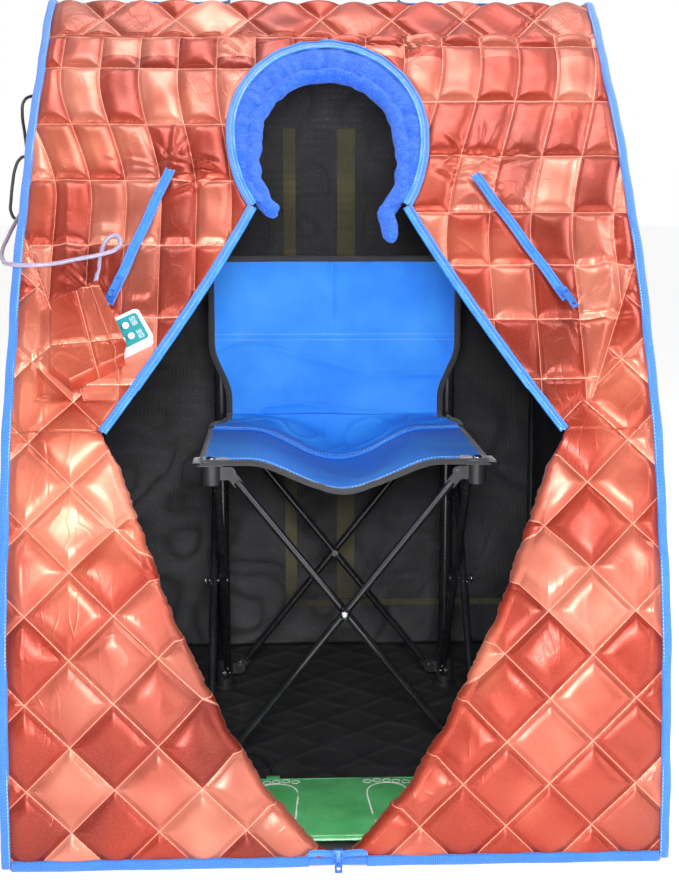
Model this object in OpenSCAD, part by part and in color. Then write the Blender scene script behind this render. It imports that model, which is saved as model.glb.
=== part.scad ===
// Portable sauna: a fabric cabin with heater panels, a folding chair, a foot pad and a wired remote.
// Millimetres. X runs across, Y runs from the open front (-Y) to the back, Z is up.
// The origin is on the ground under the middle of the cabin.

/* [Cabin] */
// Width over the side walls
tent_w = 700; // [680:5:720]
// Depth from the front hem to the back wall
tent_d = 800; // [795:1:805]
// Height of the roof
tent_h = 955; // [945:5:970]
// How far back the roof's front edge is from the hem
setback = 500; // [490:5:510]
// Power of the curve that the front follows: higher is straighter below and rounder above
lean = 2.35; // [2.3:0.05:2.4]
// Thickness of the quilted walls
wall = 6; // [5:0.5:7]
// Thickness of the blue edge binding
binding = 4; // [3:0.5:5]

/* [Front opening] */
// Height at which the taped edge turns into the folded flap
flap_top = 455; // [450:1:460]
// Half width of the opening at its widest
mouth = 250; // [240:5:260]
// Half width of the neck hole
neck_rx = 118; // [112:1:122]
// Height of the middle of the neck hole
neck_z = 782; // [778:1:786]

/* [Chair] */
// Distance between neighbouring corners of the chair
chair_side = 320; // [316:1:324]
// Height of the lower pivots
pivot_z = 32; // [30:1:34]
// Height of the upper pivots above the lower ones
rod_rise = 345; // [340:1:350]
// Height of the back posts
back_top = 622; // [600:1:640]
// Diameter of the crossed rods
rod_d = 10; // [9:0.5:10]
// Diameter of the back posts
post_d = 19; // [18:0.5:19]

/* [Remote] */
// Length of the remote
remote_l = 76; // [74:1:78]
// Width of the remote
remote_w = 42; // [40:1:44]
// Diameter of its buttons
button_d = 7; // [6:0.5:7]

/* [Hidden] */
$fn = 48;

gap = 0.3;                      // clearance between pieces that move past each other
mat_t = 4;                      // floor mat
half_w = tent_w / 2;
half_d = tent_d / 2;
side_in = half_w - wall;        // inner face of the side walls
roof_under = tent_h - wall;

copper = "#c8643f";
blue = "#2f7fd8";
black = "#1a1a1e";

// ---- the curve of the front, as [y, z] ----
function front_y(z) = -half_d + setback * pow(max(z, 0) / tent_h, lean);
function front_slope(z) = setback * lean / tent_h * pow(max(z, 0) / tent_h, lean - 1);
function front_len(z) = sqrt(1 + pow(front_slope(z), 2));
function front_pt(z, out) =
    [front_y(z) - out / front_len(z), z + out * front_slope(z) / front_len(z)];
function front_curve(out, z0, z1, n) = [for (i = [0:n]) front_pt(z0 + (z1 - z0) * i / n, out)];
function reversed(p) = [for (i = [len(p) - 1:-1:0]) p[i]];

// The cabin's side outline, grown by out
function outline(out) = concat(
    front_curve(out, 0, tent_h - 4, 22),
    [[front_y(tent_h) + 2, tent_h + out], [half_d + out, tent_h + out], [half_d + out, 0]]);

function bezier3(a, b, c, t) = a * pow(1 - t, 2) + b * 2 * t * (1 - t) + c * t * t;
function bezier4(a, b, c, d, t) =
    a * pow(1 - t, 3) + b * 3 * t * pow(1 - t, 2) + c * 3 * t * t * (1 - t) + d * pow(t, 3);

// Right-hand edge of the opening, seen from the front as [x, z]; in moves it inward
neck_low = [91, 692];
function taped_edge(in) = [for (i = [0:6])
    bezier3(neck_low, [145, 594], [mouth, flap_top], i / 6) - [in, 0]];
function fold_edge(in) = [for (i = [0:10])
    bezier4([mouth, flap_top], [215, 330], [120, 80], [18, 10], i / 10) - [in, 0]];

// The neck hole seen from the front, shrunk by in
neck_up = 113;
neck_down = 142;
function neck_ring(in) = [for (i = [0:47]) let (a = i * 7.5)
    [(neck_rx - in) * cos(a), neck_z + ((a < 180 ? neck_up : neck_down) - in) * sin(a)]];

// Profiles drawn as [y, z] and run along X, and front views drawn as [x, z] and run along Y
module along_x(x0, x1) translate([x0, 0, 0]) rotate([90, 0, 90]) linear_extrude(x1 - x0) children();
module along_y(y0, y1) translate([0, y1, 0]) rotate([90, 0, 0]) linear_extrude(y1 - y0) children();
module both_sides() { children(); mirror([1, 0, 0]) children(); }

// A slice of the front's skin from depth to out, between two heights
module front_skin(out, depth, z0, z1, n = 16)
    polygon(concat(front_curve(out, z0, z1, n), reversed(front_curve(depth, z0, z1, n))));

// Places a child on the front's skin: its x is across, its y runs up the skin, its z points out
module on_front(x, z, spin = 0)
    translate([x, front_y(z), z]) rotate([90 - atan(front_slope(z)), 0, 0])
    rotate([0, 0, spin]) children();

// ---- cabin ----
module floor_mat() color(black) {
    translate([-side_in, -half_d + wall + gap, 0])
        cube([2 * side_in, tent_d - 2 * wall - 2 * gap, mat_t]);
    // roll of foam along the front edge
    translate([-side_in + 16, -half_d + wall + 10, mat_t + 4.8])
        rotate([0, 90, 0]) cylinder(d = 9.6, h = 2 * side_in - 32);
}
module back_wall() color(copper)
    translate([-side_in, half_d - wall, 0]) cube([2 * side_in, wall, roof_under]);
module side_wall() along_x(side_in, half_w) polygon(outline(0));
module left_wall() color(copper) mirror([1, 0, 0]) side_wall();
module right_wall() color(copper) side_wall();
module roof_panel() color(copper) along_x(-side_in, side_in) polygon([
    [front_y(roof_under), roof_under], [front_y(tent_h), tent_h],
    [half_d, tent_h], [half_d, roof_under]]);

module opening_shape() {
    polygon(neck_ring(0));
    polygon(concat(taped_edge(0), [[mouth, flap_top - 10], [-mouth, flap_top - 10]],
        [for (p = reversed(taped_edge(0))) [-p.x, p.y]]));
}
module yoke_panel() color(copper) difference() {
    along_x(-side_in, side_in) front_skin(0, -wall, flap_top, roof_under);
    along_y(-half_d, half_d) opening_shape();
}
// The flap's outer skin, and behind it the part that is folded back inside
fold_w = 60;
module flap() {
    intersection() {
        along_x(0, side_in) front_skin(0, -wall, 0, flap_top, 12);
        along_y(-half_d - 20, 0)
            polygon(concat(fold_edge(0), [[18, 0], [side_in, 0], [side_in, flap_top]]));
    }
    intersection() {
        along_x(0, side_in) front_skin(-wall, -wall - 14, 15, flap_top, 12);
        along_y(-half_d - 20, 0)
            polygon(concat(fold_edge(0), reversed(fold_edge(-fold_w))));
    }
}
module left_flap() color(copper) mirror([1, 0, 0]) flap();
module right_flap() color(copper) flap();

// Black mesh lining, one sheet for each wall and the roof
lining_t = 1.5;
module lining() color(black) {
    both_sides() along_x(side_in - 8.5, side_in - 8.5 + lining_t) intersection() {
        polygon(outline(-36));
        translate([-half_d, mat_t]) square([tent_d - 30, tent_h - 45]);
    }
    translate([-side_in + 18, half_d - wall - 8.5, mat_t])
        cube([2 * side_in - 36, lining_t, roof_under - mat_t - 14]);
    translate([-side_in + 14, front_y(tent_h) + 30, roof_under - 3.2])
        cube([2 * side_in - 28, half_d - wall - 10 - front_y(tent_h) - 30, lining_t]);
}
// Heater panels behind the mesh: two on the back, one on each side
heater_t = 5;
heater_z = [78, 812];
module heater_panels() color("#3a3a40") {
    both_sides() translate([34, half_d - wall - heater_t - 0.5, heater_z[0]])
        cube([256, heater_t, heater_z[1] - heater_z[0]]);
    both_sides() translate([side_in - heater_t - 0.5, -40, heater_z[0]])
        cube([heater_t, 380, 560]);
}
// Fibreglass poles that hold the cabin open
pole_r = 5;
module front_poles() color("#d8d8d0") both_sides()
    tube([for (i = [0:12]) let (p = front_pt(12 + (tent_h - 50) * i / 12, -wall - 22))
        [side_in - 9, p[0], p[1]]], pole_r, 8);
module rear_frame() color("#d8d8d0") {
    both_sides() translate([side_in - 8, half_d - 20, mat_t]) cylinder(r = pole_r, h = tent_h - 34);
    for (y = [front_y(tent_h) + 26, half_d - 20])
        translate([-side_in + 12, y, tent_h - 16]) rotate([0, 90, 0])
        cylinder(r = pole_r, h = 2 * side_in - 24);
}
// Blue binding round both side seams and along the hem, with the carry handle's sewn strips
seam_gap = 0.4;                 // binding to the cloth under it
module blue_binding() color(blue) {
    both_sides() {
        along_x(side_in - 2, half_w + binding) difference() {
            polygon(outline(binding));
            polygon(outline(seam_gap));
        }
        along_x(half_w, half_w + binding) difference() {
            polygon(outline(0));
            difference() {
                polygon(outline(-8));
                translate([-half_d - 20, -1]) square([tent_d + 40, 9]);
            }
        }
    }
    difference() {
        translate([-side_in + 2, -half_d - binding, 0]) cube([2 * side_in - 4, binding - seam_gap, 10]);
        // room for the main zip's slider
        translate([-6, -half_d - 10, 4.5]) cube([12, 20, 10]);
    }
    for (x = [handle_x[0] - strip_l, handle_x[1]])
        translate([x, handle_y - strap_w / 2, tent_h]) cube([strip_l, strap_w, 2]);
}

// ---- zips and neck collar ----
tape_w = 9;
module tape_band()
    polygon(concat(taped_edge(0), reversed(taped_edge(tape_w))));
module zip_tapes() color(blue) {
    both_sides() intersection() {
        along_x(0, side_in) front_skin(1, -2.5, flap_top, 720, 10);
        along_y(-half_d, half_d) tape_band();
    }
    // closed end of the zip at the hem
    translate([-30, -half_d - 2.5, 10]) cube([60, 2.5, 8]);
}
slider_z = 12;
module main_slider() color("#2a5fa8") {
    translate([-5, -half_d - 6.5, slider_z - 7]) cube([10, 4, 15]);
    // bridge with the bore that the pull turns in
    difference() {
        translate([-2, -half_d - 13, slider_z - 4]) cube([4, 6.5, 8]);
        translate([-3, -half_d - 10, slider_z]) rotate([0, 90, 0]) cylinder(d = 3.1, h = 6);
    }
}
module pull_tab(l) {
    // pin through the slider's bridge, two cheeks and a tab with a hole
    rotate([0, 90, 0]) translate([0, 0, -4]) cylinder(d = 3, h = 8);
    for (x = [-4, 2.4]) translate([x, -6, -1.5]) cube([1.6, 6, 3]);
    difference() {
        translate([-4, -l, -1.5]) cube([8, l - 6, 2.2]);
        translate([0, -l + 4.5, -3]) cylinder(d = 4.2, h = 6);
    }
}
module main_pull() color("#2a5fa8") translate([0, -half_d - 10, slider_z])
    rotate([44, 0, 0]) pull_tab(15);

zip_out = 1.5;
module ring_band(outer, inner) difference() {
    polygon(neck_ring(outer));
    polygon(neck_ring(inner));
    translate([-200, 0]) square([400, neck_low[1]]);
    polygon([[-88, neck_low[1] - 1], [0, neck_low[1] + 60], [88, neck_low[1] - 1]]);
}
module neck_zip() color(blue) intersection() {
    along_x(-side_in, side_in) front_skin(zip_out, -2.5, 680, 930, 12);
    along_y(-half_d, half_d) ring_band(0, 9);
}
module neck_collar() color("#2a68d0") intersection() {
    along_x(-side_in, side_in) front_skin(3, -16, 690, 905, 10);
    along_y(-half_d, half_d) difference() {
        ring_band(9, 50);
        translate([-200, 600]) square([400, 98]);
    }
}

// Arm zips: a straight closed zip on each shoulder, with its slider at the lower end
arm_mid = [215, 658];           // x, z of the zip's middle
arm_len = 196;
arm_spin = [18.5, 28];          // degrees that the left and right zips lean outward going down
arm_lift = 4.5;                 // height of the tape's underside over the skin at the middle
arm_side = [-1, 1];
module on_arm(side) on_front(side * arm_mid[0], arm_mid[1], side * arm_spin[side < 0 ? 0 : 1])
    translate([0, 0, arm_lift]) children();
module arm_zips() color(blue) for (s = arm_side) on_arm(s) {
    translate([-7, -arm_len / 2, 0]) cube([14, arm_len, 1.2]);
    translate([-2, -arm_len / 2, 1.2]) cube([4, arm_len, 1.4]);
}
arm_park = -arm_len / 2 + 10;   // where the slider is when the zip is closed
module arm_slider(s) color("#2a5fa8") on_arm(s) translate([0, arm_park, 0]) {
    for (x = [-4.5, 2.3]) translate([x, -7, 1.2 + gap]) cube([2.2, 14, 3]);
    translate([-4.5, -7, 2.6 + gap]) cube([9, 14, 1.6]);
    difference() {
        translate([-2, -3.5, 3.9 + gap]) cube([4, 7, 5]);
        translate([-3, 0, 6.8]) rotate([0, 90, 0]) cylinder(d = 3.1, h = 6);
    }
}
module arm_slider_left() arm_slider(-1);
module arm_slider_right() arm_slider(1);
module arm_pull(s) color("#2a5fa8") on_arm(s) translate([0, arm_park, 6.8])
    rotate([0, 0, s < 0 ? 180 : 0]) pull_tab(26);   // the left pull lies up its zip, clear of the pocket
module arm_pull_left() arm_pull(-1);
module arm_pull_right() arm_pull(1);

// ---- remote control in its pocket ----
pocket_at = [-252, 548];        // x, z on the left flap's skin
pocket_out = [[-56, 44], [-8, 68], [30, -15], [26, -30], [-30, -60], [-56, -38]];
pocket_in = [[-54, 60], [-8, 80], [60, -12], [24.8, -28], [-29.4, -57.4], [-54, -37]];
pocket_top = 20.5;
module remote_pocket() color(copper) on_front(pocket_at[0], pocket_at[1]) {
    translate([0, 0, 18.5]) linear_extrude(2) polygon(pocket_out);
    translate([0, 0, 0.8]) linear_extrude(18) difference() {
        polygon(pocket_out);
        polygon(pocket_in);
    }
}
remote_at = [-237, 545];
remote_tilt = 28;
remote_base = 1.2;
shell_split = 9;
remote_top = 16;
buttons_at = [[17, 7], [17, -7], [6, 7], [6, -7]];
module on_remote() on_front(remote_at[0], remote_at[1], remote_tilt) children();
module rounded(l, w, r) hull() for (x = [-1, 1], y = [-1, 1])
    translate([x * (l / 2 - r), y * (w / 2 - r)]) circle(r, $fn = 32);
module remote_back() color("white") on_remote() {
    translate([0, 0, remote_base]) linear_extrude(shell_split - remote_base)
        rounded(remote_l, remote_w, 6);
    // strain relief at the tail
    translate([-remote_l / 2 - 8, 0, 5.5]) rotate([0, 90, 0]) cylinder(r = 3.6, h = 9);
}
module remote_front() color("white") on_remote() difference() {
    translate([0, 0, shell_split]) linear_extrude(remote_top - shell_split)
        rounded(remote_l, remote_w, 6);
    for (b = buttons_at) translate([b.x, b.y, remote_top - 4.5]) cylinder(d = button_d + 0.2, h = 6);
    translate([0, 0, remote_top - 0.8]) linear_extrude(2) rounded(remote_l - 8, remote_w - 8, 4);
}
module remote_panel() color("#1c8a8a") on_remote() difference() {
    translate([0, 0, remote_top - 0.8]) linear_extrude(1) rounded(remote_l - 8, remote_w - 8, 4);
    for (b = buttons_at) translate([b.x, b.y, remote_top - 4.5]) cylinder(d = button_d + 0.2, h = 8);
    for (y = [-8.5, 8.5]) translate([27, y, remote_top + 0.2]) cube([8, 13, 0.8], center = true);
}
module button(i) color("white") on_remote()
    translate([buttons_at[i].x, buttons_at[i].y, remote_top - 2.8]) cylinder(d = button_d, h = 4.2);
module button_1() button(0);
module button_2() button(1);
module button_3() button(2);
module button_4() button(3);

// ---- cords: a tube swept along a list of points ----
function unit(v) = v / norm(v);
function path_dir(p, i) = unit(p[min(i + 1, len(p) - 1)] - p[max(i - 1, 0)]);
function ring_u(d) = unit(cross(d, abs(d.z) < 0.8 ? [0, 0, 1] : [0, 1, 0]));
// The ring's first direction is carried along the path, so that the tube doesn't twist
function carried(p, n) = n == 0 ? ring_u(path_dir(p, 0)) :
    let (before = carried(p, n - 1), d = path_dir(p, n)) unit(before - d * (before * d));
module tube(p, r, sides) {
    n = len(p);
    points = [for (i = [0:n - 1]) let (d = path_dir(p, i), u = carried(p, i), v = cross(d, u))
        for (k = [0:sides - 1]) let (a = 360 * k / sides) p[i] + u * r * cos(a) + v * r * sin(a)];
    faces = concat(
        [[for (k = [0:sides - 1]) k]],
        [for (i = [0:n - 2], k = [0:sides - 1]) let (k2 = (k + 1) % sides)
            [i * sides + k, (i + 1) * sides + k, (i + 1) * sides + k2, i * sides + k2]],
        [[for (k = [sides - 1:-1:0]) (n - 1) * sides + k]]);
    polyhedron(points, faces);
}
gland_at = [-half_w, 60, 833];
lead_d = 4;
lead_route = [[-362, 60, 833], [-367, 60, 833], [-374, 56, 832], [-380, 44, 826], [-380, 26, 808],
    [-375, 12, 780], [-372, 8, 750], [-373, 8, 720], [-376, 7, 696], [-381, 3, 682], [-387, -3, 678],
    [-392, -8, 686], [-391, -11, 702], [-388, -13, 722], [-384, -14, 740], [-379, -14, 750],
    [-373, -14, 754], [-367, -14, 751], [-364, -14, 744.2]];
module wiring_lead() color(black) tube(lead_route, lead_d / 2, 8);
module wall_gland() color(black) translate(gland_at) rotate([0, -90, 0]) {
    cylinder(r = 9, h = 3);
    cylinder(r = 4.5, h = 12);
}
// In-line connector: plug and socket halves, screwed together
connector_at = [-364, -14, 744];
module cord_connector() color("#2a2a2e") translate(connector_at) {
    translate([0, 0, -11]) cylinder(r = 4.6, h = 11);
    translate([0, 0, -14]) cylinder(r = 5.4, h = 5);
    translate([0, 0, -24]) cylinder(r = 4.2, h = 11);
}
remote_cord_d = 5;
remote_route = [[-364, -14, 719.8], [-364, -14, 714], [-367, -18, 702], [-375, -26, 688], [-382, -50, 670],
    [-383, -90, 655], [-380, -140, 643], [-370, -190, 633], [-357, -224, 630],
    [-338, -233, 629], [-312, -231, 630], [-284, -227, 635], [-250, -222, 642],
    [-240, -218, 646], [-235, -214, 654], [-241, -210, 661], [-250, -210, 657],
    [-256, -214, 644], [-259, -225, 624], [-263, -240, 605], [-271, -255, 588],
    [-284, -266, 570], [-294, -274, 552], [-295, -282, 536], [-288, -288, 525],
    [-280, -289, 523]];
module remote_cord() color("#b7a9c6") tube(remote_route, remote_cord_d / 2, 8);

// ---- heated foot pad and its cable ----
pad_w = 360;
pad_y = [-353, -184];
pad_t = 9;
cable_x = -70;                  // where the cable leaves the pad
module foot_pad() color("#3f9a4a") {
    translate([-pad_w / 2, pad_y[0], mat_t]) {
        cube([pad_w, pad_y[1] - pad_y[0], pad_t - 2]);
        translate([4, 4, 0]) cube([pad_w - 8, pad_y[1] - pad_y[0] - 8, pad_t]);
    }
    // tab that the cable leaves from
    translate([cable_x - 12, pad_y[1], mat_t]) cube([24, 12, pad_t - 2]);
}
cable_d = 6;
cable_route = [[-70, -171.8, 7.4], [-70, -162, 7.2], [-71, -150, 7.1], [-73, -134, 7.1],
    [-78, -116, 7.1], [-87, -98, 7.1], [-101, -84, 7.1], [-120, -76, 7.1], [-142, -71, 7.1],
    [-168, -62, 7.1], [-204, -42, 7.1], [-240, -8, 7.1], [-270, 28, 7.5], [-294, 54, 12],
    [-310, 68, 20], [-318, 74, 25]];
module pad_cable() color(black) tube(cable_route, cable_d / 2, 10);
// Plug pushed into the socket at the foot of the left wall
plug_at = [-side_in + 9, 78, 26];
module pad_plug() color(black) translate(plug_at) {
    translate([0, -7, -8]) cube([9, 14, 16]);
    translate([6, 0, 0]) rotate([0, 90, 0]) cylinder(r = 4, h = 12);
}

// ---- carry handle and power inlet ----
handle_x = [-131, 110];
handle_y = front_y(tent_h) + 24;
strap_w = 30;
strap_t = 2.5;
strip_l = 130;
handle_rise = 52;
handle_pivot = tent_h + 2.5;
module carry_handle() color(blue) {
    run = handle_x[1] - handle_x[0] - 12;
    bend = 26;
    translate([handle_x[0] + 6, handle_y + strap_w / 2, handle_pivot])
    rotate([90, 0, 0]) linear_extrude(strap_w) difference() {
        union() {
            square([run, handle_rise - bend]);
            hull() for (x = [bend, run - bend])
                translate([x, handle_rise - bend]) circle(bend, $fn = 48);
        }
        translate([strap_t, -1]) square([run - 2 * strap_t, handle_rise - bend + 1]);
        hull() for (x = [bend, run - bend])
            translate([x, handle_rise - bend]) circle(bend - strap_t, $fn = 48);
    }
}
module power_inlet() color(black) difference() {
    translate([-290, half_d, 40]) cube([44, 22, 34]);
    translate([-284, half_d + 6, 46]) cube([32, 20, 22]);
}

// ---- folding chair: four crossed pairs of rods between corner pieces ----
chair_x = [-142, -142 + chair_side];
chair_y = [-138, -138 + chair_side];
inset = 22;                             // corner to pivot
span = chair_side - 2 * inset;
rod_l = sqrt(span * span + rod_rise * rod_rise);
rod_a0 = atan(rod_rise / span);
hub_z = pivot_z + rod_rise;
lane = 6;                               // each rod's distance from its side's middle plane
tab_t = 4;
ear_t = lane - tab_t / 2 - gap;
pin_r = 3;
foot_z = mat_t + gap;

// Local axes of a side: x runs along it from its first corner, y points out of the chair
module side_front() translate([chair_x[0], chair_y[0], 0]) mirror([0, 1, 0]) children();
module side_rear() translate([chair_x[0], chair_y[1], 0]) children();
module side_left() translate([chair_x[0], chair_y[0], 0]) rotate([0, 0, 90]) children();
module side_right()
    translate([chair_x[1], chair_y[0], 0]) mirror([1, 0, 0]) rotate([0, 0, 90]) children();

// A rod along x, with flat pinned ends; pins point to +y or -y, and the middle has a pin or a bore
module rod(toward, middle_pin) color("#26262a") difference() {
    union() {
        translate([14, 0, 0]) rotate([0, 90, 0]) cylinder(d = rod_d, h = rod_l - 28);
        for (x = [0, rod_l]) translate([x, 0, 0]) {
            rotate([90, 0, 0]) cylinder(r = 7, h = tab_t, center = true);
            translate([x == 0 ? 0 : -18, -tab_t / 2, -6]) cube([18, tab_t, 12]);
            // end pin with a head on both sides
            pin(pin_r, toward, tab_t / 2, lane + gap + 1.8);
        }
        if (middle_pin) translate([rod_l / 2, 0, 0]) pin(2.5, toward, rod_d / 2, lane * 2 + rod_d / 2 + 2);
    }
    if (!middle_pin) translate([rod_l / 2, 0, 0]) rotate([90, 0, 0])
        cylinder(r = 2.55, h = rod_d + 4, center = true);
}
// A pin along y from behind the origin to reach, with round heads
module pin(r, toward, back, reach) rotate([toward > 0 ? -90 : 90, 0, 0]) {
    translate([0, 0, -back - 1.2]) cylinder(r = r + 2, h = 1.6);
    translate([0, 0, -back - 0.4]) cylinder(r = r, h = reach + back);
    translate([0, 0, reach - 1.5]) cylinder(r = r + 2, h = 1.5);
}
module rod_a() translate([inset, lane, pivot_z]) rotate([0, -rod_a0, 0]) rod(-1, true);
module rod_b() translate([chair_side - inset, -lane, pivot_z]) rotate([0, rod_a0 - 180, 0]) rod(1, false);
module front_rod_a() side_front() rod_a();
module front_rod_b() side_front() rod_b();
module left_rod_a() side_left() rod_a();
module left_rod_b() side_left() rod_b();
module right_rod_a() side_right() rod_a();
module right_rod_b() side_right() rod_b();
module rear_rod_a() side_rear() rod_a();
module rear_rod_b() side_rear() rod_b();

// Ears reach from a corner to the pivots of its two sides. clear widens the bore of an open pivot
module ear_plate(far, outer, z) {
    y = outer ? 0 : -ear_t;
    x = far ? chair_side - inset : inset;
    translate([far ? x : 0, y, z - 8]) cube([inset, ear_t, 16]);
    translate([x, y, z]) rotate([-90, 0, 0]) cylinder(r = 8, h = ear_t);
}
module ear_bore(far, z, clear) translate([far ? chair_side - inset : inset, -10, z])
    rotate([-90, 0, 0]) cylinder(r = pin_r + clear, h = 20);
fit = 0.05;
loose = 0.5;

module foot(x, y, post) translate([chair_x[x], chair_y[y], 0]) difference() {
    union() {
        translate([0, 0, foot_z]) cylinder(r = 17, h = 7);
        translate([0, 0, foot_z]) cylinder(r = 12, h = post ? 42 : 38);
    }
    if (post) translate([0, 0, foot_z + 9]) cylinder(d = post_d + 0.2, h = 60);
}
module foot_fl() color("#2c2c30") difference() {
    union() {
        translate([0, 0, -gap]) foot(0, 0, false);
        side_front() ear_plate(false, true, pivot_z);
        side_left() ear_plate(false, true, pivot_z);
    }
    side_front() ear_bore(false, pivot_z, fit);
    side_left() ear_bore(false, pivot_z, fit);
}
module foot_fr() color("#2c2c30") difference() {
    union() {
        foot(1, 0, false);
        side_front() ear_plate(true, false, pivot_z);
        side_right() ear_plate(false, true, pivot_z);
    }
    side_front() ear_bore(true, pivot_z, fit);
    side_right() ear_bore(false, pivot_z, fit);
}
module foot_rl() color("#2c2c30") difference() {
    union() {
        foot(0, 1, true);
        difference() {
            union() {
                side_left() ear_plate(true, false, pivot_z);
                side_rear() ear_plate(false, true, pivot_z);
            }
            translate([chair_x[0], chair_y[1], 0]) cylinder(r = 11, h = 100);
        }
    }
    side_left() ear_bore(true, pivot_z, fit);
    side_rear() ear_bore(false, pivot_z, fit);
}
module foot_rr() color("#2c2c30") difference() {
    union() {
        foot(1, 1, true);
        difference() {
            union() {
                side_right() ear_plate(true, false, pivot_z);
                side_rear() ear_plate(true, false, pivot_z);
            }
            translate([chair_x[1], chair_y[1], 0]) cylinder(r = 11, h = 100);
        }
    }
    side_right() ear_bore(true, pivot_z, fit);
    side_rear() ear_bore(true, pivot_z, loose);
}
module back_post(x) color("#1e1e22") translate([chair_x[x], chair_y[1], 0]) {
    translate([0, 0, foot_z + 9]) cylinder(d = post_d, h = back_top - foot_z - 9);
    translate([0, 0, back_top - 2]) cylinder(r = post_d / 2 + 1, h = 4);
}
module post_left() back_post(0);
module post_right() back_post(1);

// Front hubs carry the seat's corners; rear hubs slide on the back posts
hub_h = 26;
module front_hub(x) translate([chair_x[x], chair_y[0], 0]) {
    translate([0, 0, hub_z - hub_h / 2]) cylinder(r = 11, h = hub_h);
    translate([-15, -15, hub_z + hub_h / 2 - 2]) cube([30, 30, 2]);
}
module rear_hub(x, y) translate([chair_x[x], chair_y[1], hub_z - hub_h / 2]) cylinder(r = 14, h = hub_h);
module post_bore(x) translate([chair_x[x], chair_y[1], hub_z - 40])
    cylinder(r = post_d / 2 + 0.08, h = 80);
module hub_fl() color("#3a3a3e") difference() {
    union() {
        front_hub(0);
        side_front() ear_plate(false, false, hub_z);
        side_left() ear_plate(false, false, hub_z);
    }
    side_front() ear_bore(false, hub_z, fit);
    side_left() ear_bore(false, hub_z, loose);
}
module hub_fr() color("#3a3a3e") difference() {
    union() {
        front_hub(1);
        side_front() ear_plate(true, true, hub_z);
        side_right() ear_plate(false, false, hub_z);
    }
    side_front() ear_bore(true, hub_z, fit);
    side_right() ear_bore(false, hub_z, loose);
}
module hub_rl() color("#3a3a3e") difference() {
    union() {
        rear_hub(0);
        side_left() ear_plate(true, true, hub_z);
        side_rear() ear_plate(false, false, hub_z);
    }
    post_bore(0);
    side_left() ear_bore(true, hub_z, fit);
    side_rear() ear_bore(false, hub_z, loose);
}
module hub_rr() color("#3a3a3e") difference() {
    union() {
        rear_hub(1);
        side_right() ear_plate(true, true, hub_z);
        side_rear() ear_plate(true, true, hub_z);
    }
    post_bore(1);
    side_right() ear_bore(true, hub_z, fit);
    side_rear() ear_bore(true, hub_z, loose);
}

// Seat: a sling that is flat at its sides and sags between them
seat_over = 14;
seat_t = 3;
seat_z = hub_z + hub_h / 2 + gap;
sag = 42;
sag_w = 112;
chair_mid = (chair_x[0] + chair_x[1]) / 2;
function sling(x) = abs(x) > sag_w ? 0 : -sag * (1 + cos(180 * x / sag_w)) / 2;
seat_half = chair_side / 2 + seat_over;
seat_xs = concat([-seat_half], [for (i = [-8:8]) sag_w * i / 8], [seat_half]);
module seat_cloth() color("#2f7fe0")
    translate([chair_mid, 0, seat_z]) along_y(chair_y[0] - 16, chair_y[1] - 15)
    polygon(concat([for (x = seat_xs) [x, sling(x)]],
        [for (x = reversed(seat_xs)) [x, sling(x) + seat_t]]));
module back_cloth() color("#2f7fe0")
    translate([chair_x[0] - 8, chair_y[1] - post_d / 2 - 4, 402]) cube([chair_side + 16, seat_t, 224]);

floor_mat();
back_wall();
left_wall();
right_wall();
roof_panel();
yoke_panel();
left_flap();
right_flap();
lining();
heater_panels();
front_poles();
rear_frame();
blue_binding();
zip_tapes();
main_slider();
main_pull();
neck_zip();
neck_collar();
arm_zips();
arm_slider_left();
arm_slider_right();
arm_pull_left();
arm_pull_right();
remote_pocket();
remote_back();
remote_front();
remote_panel();
button_1();
button_2();
button_3();
button_4();
remote_cord();
wiring_lead();
cord_connector();
wall_gland();
foot_pad();
pad_cable();
pad_plug();
carry_handle();
power_inlet();
foot_fl();
foot_fr();
foot_rl();
foot_rr();
post_left();
post_right();
hub_fl();
hub_fr();
hub_rl();
hub_rr();
front_rod_a();
front_rod_b();
left_rod_a();
left_rod_b();
right_rod_a();
right_rod_b();
rear_rod_a();
rear_rod_b();
seat_cloth();
back_cloth();
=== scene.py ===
"""Looks of the portable sauna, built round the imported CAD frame. Metres, +Z up, open front towards -Y."""
import math
import random

import bmesh
import bpy
import numpy as np
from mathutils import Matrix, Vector


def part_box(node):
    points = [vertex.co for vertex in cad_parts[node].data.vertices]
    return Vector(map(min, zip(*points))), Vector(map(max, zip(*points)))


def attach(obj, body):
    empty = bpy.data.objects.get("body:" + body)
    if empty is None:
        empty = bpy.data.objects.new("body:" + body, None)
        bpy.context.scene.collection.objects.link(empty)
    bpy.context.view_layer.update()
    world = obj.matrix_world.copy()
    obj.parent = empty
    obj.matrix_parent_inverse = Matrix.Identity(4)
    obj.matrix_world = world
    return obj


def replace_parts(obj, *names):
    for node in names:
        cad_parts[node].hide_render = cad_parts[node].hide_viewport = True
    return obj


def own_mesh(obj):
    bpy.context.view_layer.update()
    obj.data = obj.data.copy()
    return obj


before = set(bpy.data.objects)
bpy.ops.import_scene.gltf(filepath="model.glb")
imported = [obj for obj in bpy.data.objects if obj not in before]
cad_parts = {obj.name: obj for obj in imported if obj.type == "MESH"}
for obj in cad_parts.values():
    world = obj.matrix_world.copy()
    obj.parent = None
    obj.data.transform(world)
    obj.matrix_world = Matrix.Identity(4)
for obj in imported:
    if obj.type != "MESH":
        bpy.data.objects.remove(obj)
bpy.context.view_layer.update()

# ---------------------------------------------------------------- sizes, from the frame where it has them
MM = 0.001
HALF_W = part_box("right_wall")[1].x
HALF_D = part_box("back_wall")[1].y
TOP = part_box("roof_panel")[1].z
FLAP_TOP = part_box("left_flap")[1].z
SIDE_IN = HALF_W - 0.006            # inner face of the side walls
SETBACK, LEAN = 0.5, 2.35           # how far the front leans back at its top, and the power that it grows by
NECK_Z, NECK_LOW = 0.782, 0.692     # middle and lower end of the neck hole
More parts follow.
